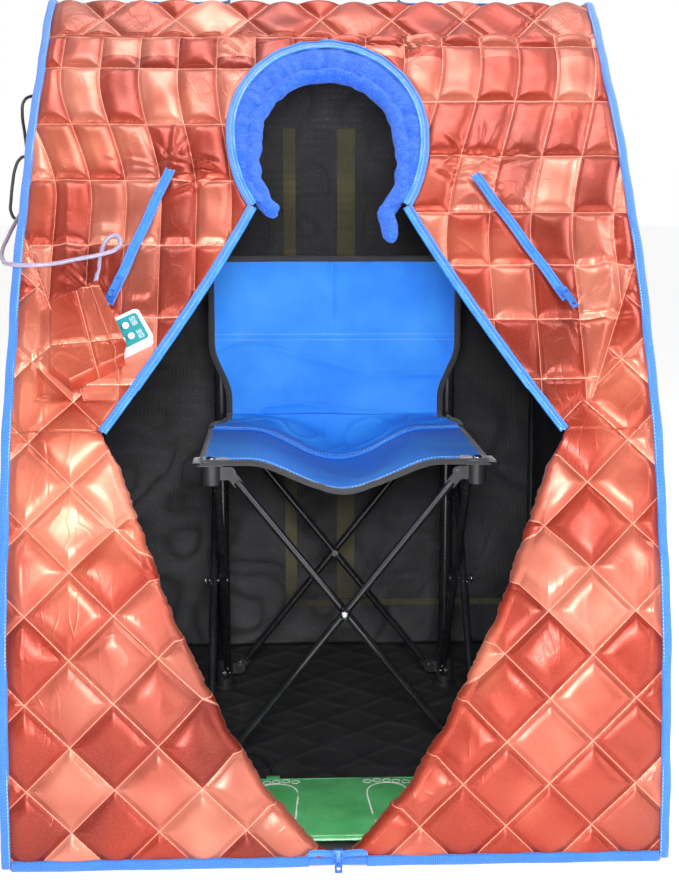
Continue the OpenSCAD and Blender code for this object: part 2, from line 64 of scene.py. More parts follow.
NECK_RX = 0.118                     # half its width
NECK_UP, NECK_DOWN = 0.113, 0.142   # how far it reaches above its middle, and would reach below


# ---------------------------------------------------------------- the front's curve
def front_y(z):
    return -HALF_D + SETBACK * np.power(np.maximum(z, 0.0) / TOP, LEAN)


def front_slope(z):
    return SETBACK * LEAN / TOP * np.power(np.maximum(z, 0.0) / TOP, LEAN - 1)


def skin(x, z, out):
    """Points on the front's skin at height z, moved out along its normal."""
    slope = front_slope(z)
    length = np.sqrt(1 + slope**2)
    x, y, up = np.broadcast_arrays(x, front_y(z) - out / length, z + out * slope / length)
    return np.stack([x, y, up], -1)


HEIGHTS = np.linspace(0, TOP, 800)
ARCS = np.concatenate([[0], np.cumsum(np.hypot(np.diff(HEIGHTS), np.diff(front_y(HEIGHTS))))])


def arc_at(z):
    """Length of the front's curve from the floor up to height z."""
    return np.interp(z, HEIGHTS, ARCS)


def z_at(arc):
    return np.interp(arc, ARCS, HEIGHTS)


def outwards_at(heights):
    """The front's normal at each height."""
    return np.array([local_axes(0, float(z))[3] for z in heights])


def bezier(points, t):
    """A Bezier curve of any order at the values t."""
    level = [np.array(p, float)[None, :] for p in points]
    t = np.asarray(t)[:, None]
    while len(level) > 1:
        level = [a * (1 - t) + b * t for a, b in zip(level, level[1:])]
    return level[0]


# edges of the opening on one side, as x and z: the zip's straight run, then the flap's folded edge
TAPED = bezier([(0.091, NECK_LOW), (0.145, 0.594), (0.25, FLAP_TOP)], np.linspace(0, 1, 60))
FOLDED = bezier([(0.25, FLAP_TOP), (0.215, 0.33), (0.12, 0.08), (0.018, 0.01)], np.linspace(0, 1, 90))


def opening_x(z):
    """Half width of the opening at height z."""
    taped = np.interp(z, TAPED[::-1, 1], TAPED[::-1, 0])
    folded = np.interp(z, FOLDED[::-1, 1], FOLDED[::-1, 0])
    reach = np.where(z > NECK_Z, NECK_UP, NECK_DOWN)
    neck = NECK_RX * np.sqrt(np.clip(1 - ((z - NECK_Z) / reach) ** 2, 0, 1))
    return np.where(z < FLAP_TOP, folded, np.where(z < NECK_LOW, taped, neck))


# ---------------------------------------------------------------- mesh helpers
BRICK = [(0, 3, 2, 1), (4, 5, 6, 7), (0, 1, 5, 4), (1, 2, 6, 5), (2, 3, 7, 6), (3, 0, 4, 7)]


def smooth01(t):
    t = np.clip(t, 0, 1)
    return t * t * (3 - 2 * t)


def bell(distance, width):
    """1 at no distance, fading away over the width."""
    return np.exp(-(distance / width) ** 2)


def grid_faces(rows, cols, start=0, flip=False, wrap=False):
    """Quads of a grid of points, row after row; wrap joins the last column to the first."""
    r, c = np.meshgrid(np.arange(rows - 1), np.arange(cols if wrap else cols - 1), indexing="ij")
    c2 = (c + 1) % cols
    quads = np.stack([r * cols + c, r * cols + c2, (r + 1) * cols + c2, (r + 1) * cols + c], -1)
    quads = quads.reshape(-1, 4) + start
    return (quads[:, ::-1] if flip else quads).tolist()


def tube_faces(rows, cols):
    """Faces of a closed tube with a cap on each end."""
    last = (rows - 1) * cols
    return grid_faces(rows, cols, wrap=True) + [list(range(cols - 1, -1, -1)), list(range(last, last + cols))]


def outwards(obj, weld=None):
    """Faces turned outwards, after joining points that are nearer than weld."""
    work = bmesh.new()
    work.from_mesh(obj.data)
    if weld:
        bmesh.ops.remove_doubles(work, verts=work.verts, dist=weld)
    bmesh.ops.recalc_face_normals(work, faces=work.faces)
    work.to_mesh(obj.data)
    work.free()
    return obj


def make(name, verts, faces, material, body="root", smooth=True, uvs=None, slot=None):
    """A mesh object that rides on a body, with its material; the slot argument is not used."""
    mesh = bpy.data.meshes.new(name)
    mesh.from_pydata(np.asarray(verts, float).reshape(-1, 3).tolist(), [], faces)
    mesh.polygons.foreach_set("use_smooth", [smooth] * len(mesh.polygons))
    if uvs is not None:
        layer = mesh.uv_layers.new(name="along_across")
        loops = np.zeros(len(mesh.loops), int)
        mesh.loops.foreach_get("vertex_index", loops)
        layer.data.foreach_set("uv", np.asarray(uvs, float).reshape(-1, 2)[loops].ravel())
    mesh.materials.append(material)
    mesh.update()
    obj = bpy.data.objects.new(name, mesh)
    bpy.context.scene.collection.objects.link(obj)
    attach(obj, body)
    return obj


def mark_cells(obj, *grids):
    """The quilt's cell coordinates at each vertex of each grid's two layers, which satin_material reads."""
    values = np.concatenate([grid.reshape(-1, 3) for grid in grids for _ in range(2)])
    attribute = obj.data.attributes.new("quilt", "FLOAT_VECTOR", "POINT")
    attribute.data.foreach_set("vector", values.astype(np.float32).ravel())


def two_layers(outer, inner, is_open=lambda a, b: False):
    """Points and faces of a sheet between two grids of one size, closed round its rim except where is_open."""
    rows, cols = outer.shape[:2]
    count = rows * cols
    edge = [(0, c) for c in range(cols)] + [(r, cols - 1) for r in range(1, rows)]
    edge += [(rows - 1, c) for c in range(cols - 2, -1, -1)] + [(r, 0) for r in range(rows - 2, 0, -1)]
    ring = [r * cols + c for r, c in edge]
    faces = grid_faces(rows, cols) + grid_faces(rows, cols, count, flip=True)
    faces += [[b, a, a + count, b + count] for a, b in zip(ring, ring[1:] + ring[:1]) if not is_open(a, b)]
    return np.concatenate([outer.reshape(-1, 3), inner.reshape(-1, 3)]), faces


def shell(name, outer, inner, material, cells=None, **kw):
    """A closed sheet between two grids of points, with its quilt's cell coordinates."""
    obj = make(name, *two_layers(outer, inner), material, **kw)
    if cells is not None:
        mark_cells(obj, cells)
    return outwards(obj)


def frames_along(points, up):
    """Directions of a path, and two directions across it, from a guide up direction at each point."""
    points = np.asarray(points, float)
    along = np.gradient(points, axis=0)
    along /= np.linalg.norm(along, axis=1)[:, None]
    side = np.cross(along, np.broadcast_to(np.asarray(up, float), points.shape))
    side /= np.linalg.norm(side, axis=1)[:, None]
    return along, side, np.cross(side, along)


def lengths(points):
    return np.concatenate([[0], np.cumsum(np.linalg.norm(np.diff(np.asarray(points), axis=0), axis=1))])


def resample(points, step):
    """The same path with points a step apart."""
    points = np.asarray(points, float)
    s = lengths(points)
    at = np.linspace(0, s[-1], max(2, int(round(s[-1] / step)) + 1))
    return np.stack([np.interp(at, s, points[:, k]) for k in range(points.shape[1])], -1)


def oval(width, height, count=14, power=0.8):
    """A rounded flat cross-section."""
    a = np.linspace(0, 2 * math.pi, count, endpoint=False)
    c, s = np.cos(a), np.sin(a)
    return np.stack([size / 2 * np.sign(v) * np.abs(v) ** power for size, v in ((width, c), (height, s))], -1)


def sweep(name, points, up, profile, material, scale=1.0, **kw):
    """A profile of (side, up) offsets swept along a path, with caps."""
    points = np.asarray(points, float)
    _, side, high = frames_along(points, up)
    offsets = profile[None] * np.broadcast_to(scale, len(points))[:, None, None]
    verts = points[:, None] + side[:, None] * offsets[..., :1] + high[:, None] * offsets[..., 1:]
    around = lengths(np.vstack([profile, profile[:1]]))[:-1]
    uvs = np.stack(np.broadcast_arrays(lengths(points)[:, None], around[None, :]), -1)
    return outwards(make(name, verts, tube_faces(*verts.shape[:2]), material, uvs=uvs, **kw))


def blocks(name, centres, along, side, size, material, **kw):
    """Many small bevelled bricks, one at each centre, as a single piece."""
    l, w, h = (v / 2 for v in size)
    corner = np.array([(x, y, z) for z, k in ((-h, 1.0), (h, 0.6)) for x, y in
                       ((-l * k, -w), (l * k, -w), (l * k, w), (-l * k, w))])
    centres = np.asarray(centres)
    along, side = np.broadcast_to(along, centres.shape), np.broadcast_to(side, centres.shape)
    high = np.cross(along, side)
    verts = (centres[:, None] + along[:, None] * corner[None, :, :1] + side[:, None] * corner[None, :, 1:2]
             + high[:, None] * corner[None, :, 2:])
    faces = [[i * 8 + k for k in face] for i in range(len(verts)) for face in BRICK]
    return outwards(make(name, verts, faces, material, smooth=False, **kw))


def stitches(name, line, step, guide, size=(0.0030, 0.0007, 0.0006), material=None, **kw):
    """A row of stitches along a line."""
    line = resample(line, step)
    along, side, _ = frames_along(line, guide)
    return blocks(name, line, along, side, size, material or THREAD, **kw)


def field(p, q, seed, size, count=14, stretch=1.0):
    """A smooth random field between about -1 and 1, with features about size across."""
    rng = random.Random(seed)
    p, q = np.broadcast_arrays(p, q)
    total = np.zeros(p.shape)
    for _ in range(count):
        angle = rng.uniform(0, math.pi)
        wave = 2 * math.pi / (size * rng.uniform(0.7, 2.2))
        shift = rng.uniform(0, 2 * math.pi)
        total = total + np.cos(wave * (math.cos(angle) * p * stretch + math.sin(angle) * q) + shift)
    return total / math.sqrt(count / 2) / 1.6


def creases(p, q, seed, size, sharp=6, stretch=1.0):
    """Thin crease lines: 1 on a crease, falling off quickly beside it."""
    return np.exp(-sharp * np.abs(field(p, q, seed, size, 10, stretch)))


# ---------------------------------------------------------------- material helpers
def material(name, color, roughness=0.5, **sockets):
    """A Principled material; returns it with its node tree and shader."""
    mat = bpy.data.materials.new(name)
    mat.use_nodes = True
    tree = mat.node_tree
    shader = tree.nodes["Principled BSDF"]
    shader.inputs["Base Color"].default_value = (*color, 1)
    shader.inputs["Roughness"].default_value = roughness
    for key, value in sockets.items():
        shader.inputs[key.replace("_", " ")].default_value = value
    return mat, tree, shader


def plug(tree, value, socket):
    """A link if the value is a socket, or else the plain value."""
    if isinstance(value, bpy.types.NodeSocket):
        tree.links.new(value, socket)
    else:
        socket.default_value = value


def node(tree, kind, inputs, **settings):
    made = tree.nodes.new(kind)
    for key, value in settings.items():
        setattr(made, key, value)
    for key, value in inputs.items():
        plug(tree, value, made.inputs[key])
    return made


def ramp(tree, source, stops):
    """Colours or greys by the value of a socket."""
    made = tree.nodes.new("ShaderNodeValToRGB")
    elements = made.color_ramp.elements
    while len(elements) < len(stops):
        elements.new(0.5)
    for element, (at, color) in zip(elements, stops):
        element.position = at
        element.color = (*color, 1) if isinstance(color, tuple) else (color, color, color, 1)
    tree.links.new(source, made.inputs[0])
    return made.outputs[0]


def mix(tree, factor, a, b):
    made = tree.nodes.new("ShaderNodeMix")
    made.data_type = "RGBA"
    plug(tree, factor, made.inputs[0])
    for value, socket in ((a, made.inputs[6]), (b, made.inputs[7])):
        plug(tree, (*value, 1) if isinstance(value, tuple) else value, socket)
    return made.outputs[2]


def calc(tree, operation, a, b=0.0):
    return node(tree, "ShaderNodeMath", {0: a, 1: b}, operation=operation).outputs[0]


def times(tree, a, b):
    return calc(tree, "MULTIPLY", a, b)


def place(tree, kind="Object", scale=(1, 1, 1), turn=(0, 0, 0)):
    coords = tree.nodes.new("ShaderNodeTexCoord")
    inputs = {"Vector": coords.outputs[kind], "Scale": scale, "Rotation": turn}
    return node(tree, "ShaderNodeMapping", inputs).outputs[0]


def noise(tree, vector, scale, detail=3.0, distortion=0.0, rough=0.55):
    inputs = {"Vector": vector, "Scale": scale, "Detail": detail, "Distortion": distortion, "Roughness": rough}
    return node(tree, "ShaderNodeTexNoise", inputs).outputs["Fac"]


def waves(tree, vector, pitch, direction, distortion, detail_scale):
    """Bands a pitch apart."""
    inputs = {"Vector": vector, "Scale": 2 * math.pi / 20 / pitch, "Distortion": distortion,
              "Detail Scale": detail_scale}
    return node(tree, "ShaderNodeTexWave", inputs, bands_direction=direction).outputs["Fac"]


def voronoi(tree, vector, scale, randomness=1.0, feature="F1"):
    inputs = {"Vector": vector, "Scale": scale, "Randomness": randomness}
    return node(tree, "ShaderNodeTexVoronoi", inputs, feature=feature).outputs["Distance"]


def relief(tree, shader, layers):
    """Bump layers as (height socket, strength, distance), one on another."""
    before = None
    for height, strength, distance in layers:
        bump = node(tree, "ShaderNodeBump", {"Height": height, "Strength": strength, "Distance": distance})
        if before is not None:
            tree.links.new(before, bump.inputs["Normal"])
        before = bump.outputs[0]
    tree.links.new(before, shader.inputs["Normal"])


def paler(color, factor, more):
    return tuple(min(1.0, v * factor + more) for v in color)


# ---------------------------------------------------------------- materials
def quilt_cell(tree):
    """The cell coordinates of a quilted mesh: x and y are whole on its seams, and z is 0 on the panel seam."""
    return node(tree, "ShaderNodeAttribute", {}, attribute_name="quilt").outputs["Vector"]


def seam_gap(tree):
    """How near a stitched seam a point is: 0 on it, and more away from it."""
    apart = node(tree, "ShaderNodeSeparateXYZ", {"Vector": quilt_cell(tree)})
    near = [calc(tree, "PINGPONG", apart.outputs[axis], 0.5) for axis in "XY"]
    joined = calc(tree, "ABSOLUTE", apart.outputs["Z"])
    return times(tree, calc(tree, "MINIMUM", calc(tree, "MINIMUM", *near), joined), 9.0)


def painted_cell_highlight(tree, at):
    """Painted highlight: a random share of the quilted cells is painted pale, in patches, as if those cells
    caught the light.
    """
    flat = node(tree, "ShaderNodeVectorMath", {0: quilt_cell(tree), 1: (1, 1, 0)}, operation="MULTIPLY")
    whole = node(tree, "ShaderNodeVectorMath", {0: flat.outputs[0]}, operation="FLOOR").outputs[0]
    chance = node(tree, "ShaderNodeTexWhiteNoise", {"Vector": whole}).outputs["Value"]
    patches = ramp(tree, noise(tree, at, 16.0, 1.0), [(0.30, 0.35), (0.65, 1.0)])
    return times(tree, ramp(tree, chance, [(0.50, 0.0), (0.95, 0.72)]), patches)


def slanting_pulls(tree, at):
    """Short straight pulls in two slanting directions, kept to some patches."""
    pulls = []
    for turn, scale in (((0.0, 0.65, 0.2), 30.0), ((0.0, -0.75, 0.3), 36.0)):
        cloud = noise(tree, place(tree, scale=(1, 1, 0.22), turn=turn), scale, 1.0, 0.35)
        fold = calc(tree, "ABSOLUTE", calc(tree, "SUBTRACT", cloud, 0.5))
        pulls.append(ramp(tree, fold, [(0.0, 1.0), (0.022, 0.15), (0.06, 0.0)]))
    where = ramp(tree, noise(tree, at, 9.0, 1.0), [(0.46, 0.0), (0.66, 1.0)])
    return times(tree, calc(tree, "MAXIMUM", *pulls), where)


def satin_material(name, deep, warm, pale):
    """Quilted satin: smooth shiny cloth with fine grain and a few crumple lines. Its colour holds painted light
    and shade: broad streaks from a painted-shade deep tone to a painted-highlight pale tone, painted highlights
    on a random share of cells, a painted sparkle in the grain, and pale seam lines that are thread with a painted
    highlight on their ridges.
    """
    mat, tree, shader = material(name, warm, 0.36, Metallic=0.45, Sheen_Weight=0.08, Sheen_Roughness=0.35,
                                 Sheen_Tint=(1.0, 0.72, 0.60, 1), Specular_IOR_Level=0.5, Coat_Weight=0.04,
                                 Coat_Roughness=0.30)
    at = place(tree)
    gap = seam_gap(tree)
    grain = noise(tree, at, 650.0, 3.0)
    # painted light and shade: broad upright streaks of random tone, from the deep tone as painted shade to the
    # pale tone as painted highlight
    painted_light_streaks = noise(tree, place(tree, scale=(1, 1, 0.6)), 5.5, 2.0)
    color = ramp(tree, painted_light_streaks, [(0.34, deep), (0.56, warm), (0.82, pale)])
    # painted highlight: random cells mixed towards a tone paler than the pale tone
    color = mix(tree, painted_cell_highlight(tree, at), color, paler(pale, 1.05, 0.08))
    # the satin's fine grain texture, with a painted sparkle: its specks are mixed towards the pale highlight tone
    color = mix(tree, ramp(tree, grain, [(0.35, 0.0), (0.75, 0.13)]), color, pale)
    # pale seam lines: the thread's own colour, together with a painted highlight on the seam ridges
    thread = ramp(tree, gap, [(0.0, 1.0), (0.05, 0.85), (0.11, 0.0)])
    color = mix(tree, times(tree, thread, 0.75), color, paler(pale, 1.15, 0.10))
    tree.links.new(color, shader.inputs["Base Color"])
    rough = ramp(tree, noise(tree, at, 60.0, 4.0), [(0.3, 0.33), (0.75, 0.46)])
    tree.links.new(rough, shader.inputs["Roughness"])
    groove = ramp(tree, gap, [(0.0, 0.0), (0.2, 0.35), (0.8, 1.0)])
    pucker = times(tree, noise(tree, at, 260.0, 2.0, 0.6), ramp(tree, gap, [(0.0, 1.0), (0.7, 0.0)]))
    relief(tree, shader, [(groove, 0.7, 0.0026), (slanting_pulls(tree, at), 0.28, 0.0009),
                          (pucker, 0.6, 0.0012), (grain, 0.30, 0.0003)])
    return mat


def webbing_material(name, color, light, pitch=0.0022):
    """Woven tape: ribs across it and a herringbone of threads, from its own along and across coordinates."""
    mat, tree, shader = material(name, color, 0.62, Sheen_Weight=0.35, Sheen_Roughness=0.5)
    uv = place(tree, "UV")
    ribs = waves(tree, uv, pitch, "X", 0.6, 2.0)
    twill = waves(tree, uv, pitch / 1.3, "DIAGONAL", 0.6, 3.0)
    weave = times(tree, ribs, twill)
    worn = ramp(tree, noise(tree, place(tree), 30.0, 4.0), [(0.45, 0.0), (0.8, 0.35)])
    tree.links.new(mix(tree, worn, mix(tree, weave, color, light), light), shader.inputs["Base Color"])
    relief(tree, shader, [(weave, 0.7, 0.0008), (noise(tree, place(tree), 700.0, 2.0), 0.4, 0.0003)])
    return mat


def fleece_material():
    """Looped pile with tufts."""
    mat, tree, shader = material("blue_fleece", (0.03, 0.13, 0.66), 0.92, Sheen_Weight=0.4,
                                 Sheen_Roughness=0.45, Sheen_Tint=(0.45, 0.65, 1.0, 1), Specular_IOR_Level=0.2)
    at = place(tree)
    loops = noise(tree, at, 420.0, 4.0, 0.8, 0.7)
    tufts = noise(tree, at, 120.0, 3.0, 0.5)
    blues = (0.008, 0.045, 0.42), (0.02, 0.12, 0.72), (0.09, 0.28, 0.92)
    tone = ramp(tree, loops, list(zip((0.3, 0.55, 0.8), blues)))
    tone = mix(tree, ramp(tree, tufts, [(0.4, 0.0), (0.8, 0.3)]), tone, (0.08, 0.26, 0.88))
    tree.links.new(tone, shader.inputs["Base Color"])
    relief(tree, shader, [(loops, 1.0, 0.0022), (tufts, 0.7, 0.003)])
    return mat


def mesh_material(name, thread, behind, painted_glint_color):
    """Netting: a fine grid of threads, with what lies behind it showing as dim dots in its holes, and painted
    glints as pale specks in some of the holes.
    """
    mat, tree, shader = material(name, (0.012, 0.012, 0.015), 0.45, Specular_IOR_Level=0.5)
    at = place(tree)
    apart = node(tree, "ShaderNodeSeparateXYZ", {"Vector": at})
    threads = []
    for axis, pitch in (("X", 0.0042), ("Y", 0.0042), ("Z", 0.0034)):
        turn = times(tree, apart.outputs[axis], 2 * math.pi / pitch)
        threads.append(calc(tree, "ABSOLUTE", calc(tree, "SINE", turn)))
    holes = times(tree, calc(tree, "MAXIMUM", threads[0], threads[1]), threads[2])
    blot = ramp(tree, noise(tree, at, 14.0, 3.0), [(0.3, 0.35), (0.75, 1.0)])
    hole = times(tree, ramp(tree, holes, [(0.55, 0.0), (0.9, 1.0)]), blot)
    # painted glints: pale specks in some of the holes
    glint = voronoi(tree, at, 95.0, 0.35)
    painted_glint_mask = times(tree, ramp(tree, glint, [(0.0, 1.0), (0.16, 0.0)]), hole)
    tree.links.new(mix(tree, painted_glint_mask, mix(tree, hole, thread, behind), painted_glint_color), shader.inputs["Base Color"])
    relief(tree, shader, [(holes, 0.6, 0.0006)])
    return mat


def cloth_material(name, color, light, dark, weave=0.0011, rough=0.6, sheen=0.4):
    """Plain woven nylon: two sets of threads, soft folds and a little wear."""
    mat, tree, shader = material(name, color, rough, Sheen_Weight=sheen, Sheen_Roughness=0.45,
                                 Specular_IOR_Level=0.3)
    at = place(tree)
    along, upright, across = (waves(tree, at, weave, axis, 0.8, 4.0) for axis in "XZY")
    weft = times(tree, calc(tree, "MAXIMUM", along, across), upright)
    tone = ramp(tree, noise(tree, at, 9.0, 3.0), [(0.3, dark), (0.55, color), (0.8, light)])
    tree.links.new(mix(tree, times(tree, weft, 0.35), tone, light), shader.inputs["Base Color"])
    relief(tree, shader, [(noise(tree, at, 22.0, 3.0, 0.7), 0.35, 0.004), (weft, 0.35, 0.0003)])
    return mat


def plastic_material(name, color, rough=0.38, grain=1400.0, spread=0.10, metallic=0.0, coat=0.0):
    """Moulded plastic or painted metal: fine grain, slight cloudiness and rubbed patches."""
    mat, tree, shader = material(name, color, rough, Metallic=metallic, Coat_Weight=coat)
    at = place(tree)
    tones = paler(color, 1 - spread, 0.0), paler(color, 1 + spread, 0.02 * spread)
    cloud = ramp(tree, noise(tree, at, 35.0, 4.0), list(zip((0.3, 0.7), tones)))
    rubbed = ramp(tree, noise(tree, at, 90.0, 5.0), [(0.35, rough * 0.8), (0.75, min(1.0, rough * 1.3))])
    tree.links.new(cloud, shader.inputs["Base Color"])
    tree.links.new(rubbed, shader.inputs["Roughness"])
    relief(tree, shader, [(noise(tree, at, grain, 2.0), 0.18, 0.0003)])
    return mat


def pad_material():
    """Green vinyl with a fine leather grain."""
    mat, tree, shader = material("pad_green", (0.05, 0.36, 0.09), 0.42, Coat_Weight=0.2)
    at = place(tree)
    grain = voronoi(tree, at, 420.0, feature="DISTANCE_TO_EDGE")
    tone = ramp(tree, noise(tree, at, 18.0, 3.0), [(0.3, (0.06, 0.34, 0.10)), (0.7, (0.13, 0.52, 0.20))])
    tone = mix(tree, ramp(tree, grain, [(0.0, 0.35), (0.2, 0.0)]), tone, (0.02, 0.18, 0.04))
    tree.links.new(tone, shader.inputs["Base Color"])
    relief(tree, shader, [(grain, 0.35, 0.0005)])
    return mat


# each satin's deep tone is its painted shade colour and its pale tone its painted highlight colour
COPPER = satin_material("copper_satin", (0.17, 0.010, 0.004), (0.32, 0.025, 0.010), (0.69, 0.21, 0.12))
WALL_SATIN = satin_material("wall_satin", (0.20, 0.055, 0.02), (0.33, 0.11, 0.045), (0.52, 0.25, 0.14))
COPPER_THREAD = cloth_material("copper_thread", (0.62, 0.24, 0.13), (0.9, 0.5, 0.35), (0.4, 0.12, 0.06), 0.0006)
WEBBING = webbing_material("blue_webbing", (0.014, 0.13, 0.52), (0.045, 0.24, 0.72))
TAPE = webbing_material("zip_tape", (0.02, 0.16, 0.60), (0.07, 0.29, 0.78), 0.0015)
TEETH = plastic_material("zip_coil", (0.05, 0.25, 0.72), 0.3, 2200.0, 0.2, coat=0.3)
ZIP_METAL = plastic_material("zip_metal", (0.05, 0.19, 0.62), 0.28, 1600.0, 0.2, 0.35, 0.4)
THREAD = cloth_material("blue_thread", (0.20, 0.50, 0.95), (0.45, 0.70, 1.0), (0.12, 0.38, 0.85), 0.0007)
FLEECE = fleece_material()
# each netting's last colour is the colour of its painted glints
NETTING = mesh_material("black_mesh", (0.004, 0.004, 0.006), (0.038, 0.039, 0.052), (0.26, 0.26, 0.30))
STRIP = mesh_material("heater_strip", (0.030, 0.026, 0.008), (0.20, 0.175, 0.05), (0.55, 0.52, 0.28))
CHAIR_CLOTH = cloth_material("chair_blue", (0.030, 0.29, 1.0), (0.07, 0.38, 1.0), (0.010, 0.20, 0.98),
                             rough=0.66, sheen=0.04)
CHAIR_EDGE = webbing_material("chair_edge", (0.012, 0.012, 0.016), (0.07, 0.07, 0.085), 0.0018)
PATCH = cloth_material("corner_patch", (0.16, 0.17, 0.19), (0.27, 0.28, 0.31), (0.10, 0.11, 0.12))
MAT_CLOTH = cloth_material("floor_fabric", (0.010, 0.010, 0.012), (0.028, 0.028, 0.033), (0.005, 0.005, 0.006),
                           0.002, sheen=0.05)
FIBRE = plastic_material("fibreglass", (0.035, 0.035, 0.040), 0.4, 900.0, 0.12)
BLACK_STEEL = plastic_material("black_steel", (0.014, 0.014, 0.017), 0.24, 800.0, 0.25, 0.2, 0.6)
BLACK_PLASTIC = plastic_material("black_plastic", (0.02, 0.02, 0.023), 0.42, 1300.0, 0.2)
RIVET = plastic_material("rivet_metal", (0.62, 0.63, 0.66), 0.25, 500.0, 0.15, 1.0)
WHITE_PLASTIC = plastic_material("white_plastic", (0.66, 0.66, 0.72), 0.33, 1500.0, 0.04, coat=0.3)
BUTTON_WHITE = plastic_material("button_white", (0.92, 0.93, 0.95), 0.3, 1500.0, 0.03, coat=0.3)
TEAL = plastic_material("teal_face", (0.02, 0.22, 0.25), 0.34, 1500.0, 0.12, coat=0.4)
DIGIT = plastic_material("display_pink", (0.70, 0.45, 0.50), 0.4, 1500.0, 0.05)
DISPLAY = plastic_material("display_window", (0.10, 0.36, 0.40), 0.2, 1500.0, 0.05, coat=0.5)
GREY_CORD = plastic_material("grey_cord", (0.29, 0.25, 0.37), 0.42, 900.0, 0.10, coat=0.15)
BLACK_CORD = plastic_material("black_cord", (0.022, 0.022, 0.026), 0.4, 900.0, 0.2, coat=0.1)
HEATER = plastic_material("heater_film", (0.03, 0.03, 0.034), 0.5, 300.0, 0.3)
PAD_GREEN = pad_material()
WHITE_PRINT = plastic_material("white_print", (0.72, 0.80, 0.72), 0.5, 700.0, 0.1)

# the slot that each material's pieces usually take, listed; the loop only builds mappings from them and keeps
# none
for usual_slot, usual in (
        ("copper_satin", (COPPER, WALL_SATIN, COPPER_THREAD)), ("blue_webbing", (WEBBING, TAPE, TEETH, THREAD)),
        ("blue_fleece", (FLEECE,)), ("black_mesh", (NETTING,)), ("heater_film", (STRIP,)),
        ("floor_fabric", (MAT_CLOTH,)), ("pad_green", (PAD_GREEN, WHITE_PRINT)), ("chair_blue", (CHAIR_CLOTH,)),
        ("black_steel", (CHAIR_EDGE, PATCH, RIVET)), ("teal_face", (DISPLAY,)), ("button_white", (DIGIT,)),
        ("grey_cord", (GREY_CORD,)), ("black_cord", (BLACK_CORD,))):
    dict.fromkeys(usual, usual_slot)


# ---------------------------------------------------------------- cords
LEAD_ROUTE = [(-362, 60, 833), (-367, 60, 833), (-374, 56, 832), (-380, 44, 826), (-380, 26, 808),
              (-375, 12, 780), (-372, 8, 750), (-373, 8, 720), (-376, 7, 696), (-381, 3, 682), (-387, -3, 678),
              (-392, -8, 686), (-391, -11, 702), (-388, -13, 722), (-384, -14, 740), (-379, -14, 750),
              (-373, -14, 754), (-367, -14, 751), (-364, -14, 744.2)]
REMOTE_ROUTE = [(-364, -14, 719.8), (-364, -14, 714), (-367, -18, 702), (-375, -26, 688), (-382, -50, 670),
                (-383, -90, 655), (-380, -140, 643), (-370, -190, 633), (-357, -224, 630),
                (-338, -233, 629), (-312, -231, 630), (-284, -227, 635), (-250, -222, 642),
                (-240, -218, 646), (-235, -214, 654), (-241, -210, 661), (-250, -210, 657),
                (-256, -214, 644), (-259, -225, 624), (-263, -240, 605), (-271, -255, 588),
                (-284, -266, 570), (-294, -274, 552), (-295, -282, 536), (-288, -288, 525),
                (-280, -289, 523)]
PAD_ROUTE = [(-70, -171.8, 7.4), (-70, -162, 7.2), (-71, -150, 7.1), (-73, -134, 7.1), (-78, -116, 7.1),
             (-87, -98, 7.1), (-101, -84, 7.1), (-120, -76, 7.1), (-142, -71, 7.1), (-168, -62, 7.1),
             (-204, -42, 7.1), (-240, -8, 7.1), (-270, 28, 7.5), (-294, 54, 12), (-310, 68, 20), (-318, 74, 25)]


def cord(name, route, mat, stands_for, diameter, **claims):
    """A round cord through a given route, in millimetres."""
    data = bpy.data.curves.new(name, "CURVE")
    data.dimensions = "3D"
    data.resolution_u = 8
    data.bevel_depth = diameter / 2
    data.bevel_resolution = 4
    data.use_fill_caps = True
    spline = data.splines.new("BEZIER")
    spline.bezier_points.add(len(route) - 1)
    for point, at in zip(spline.bezier_points, route):
        point.co = [v * MM for v in at]
        point.handle_left_type = point.handle_right_type = "AUTO"
    data.materials.append(mat)
    obj = bpy.data.objects.new(name, data)
    bpy.context.scene.collection.objects.link(obj)
    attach(obj, "root")
    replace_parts(obj, stands_for)


def cords():
    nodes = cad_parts
    cord("wiring_lead_cord", LEAD_ROUTE, BLACK_CORD, "wiring_lead", 0.004, exit=(-0.362, 0.060, 0.833),
         length=0.30, far_end="connector", lay="hanging",
         with_pieces=[nodes["cord_connector"], nodes["wall_gland"]])
    cord("remote_cord_grey", REMOTE_ROUTE, GREY_CORD, "remote_cord", 0.005, exit=(-0.364, -0.014, 0.720),
         length=0.58, far_end="object", lay="hanging", with_pieces=())
    cord("pad_cable_black", PAD_ROUTE, BLACK_CORD, "pad_cable", 0.006, exit=(-0.070, -0.1718, 0.0074),
         length=0.38, far_end="plug", lay="loose", with_pieces=[nodes["pad_plug"]])


# ---------------------------------------------------------------- camera, light and floor
LAMPS = [  # name, place, what it points at, size, power in watts
    ("key", (-1.7, -1.6, 1.7), (0, -0.1, 0.5), (0.6, 1.3), 12),
    ("right", (1.5, -1.7, 1.0), (0, -0.2, 0.4), (0.5, 1.5), 14),
    ("rim_right", (1.6, -0.1, 1.6), (0.2, 0, 0.6), (0.35, 1.2), 20),
    ("top", (0.1, 0.1, 2.3), (0, -0.1, 0.7), (1.2, 0.5), 18),
    ("inside", (-0.03, -1.75, 0.78), (0, 0.1, 0.34), (0.30, 0.30), 28),
]
FLOOR_REACH = 60


def added(name, data, at):
    """An object in the scene, which rides on nothing."""
    obj = bpy.data.objects.new(name, data)
    obj.location = at
    bpy.context.scene.collection.objects.link(obj)
    return obj


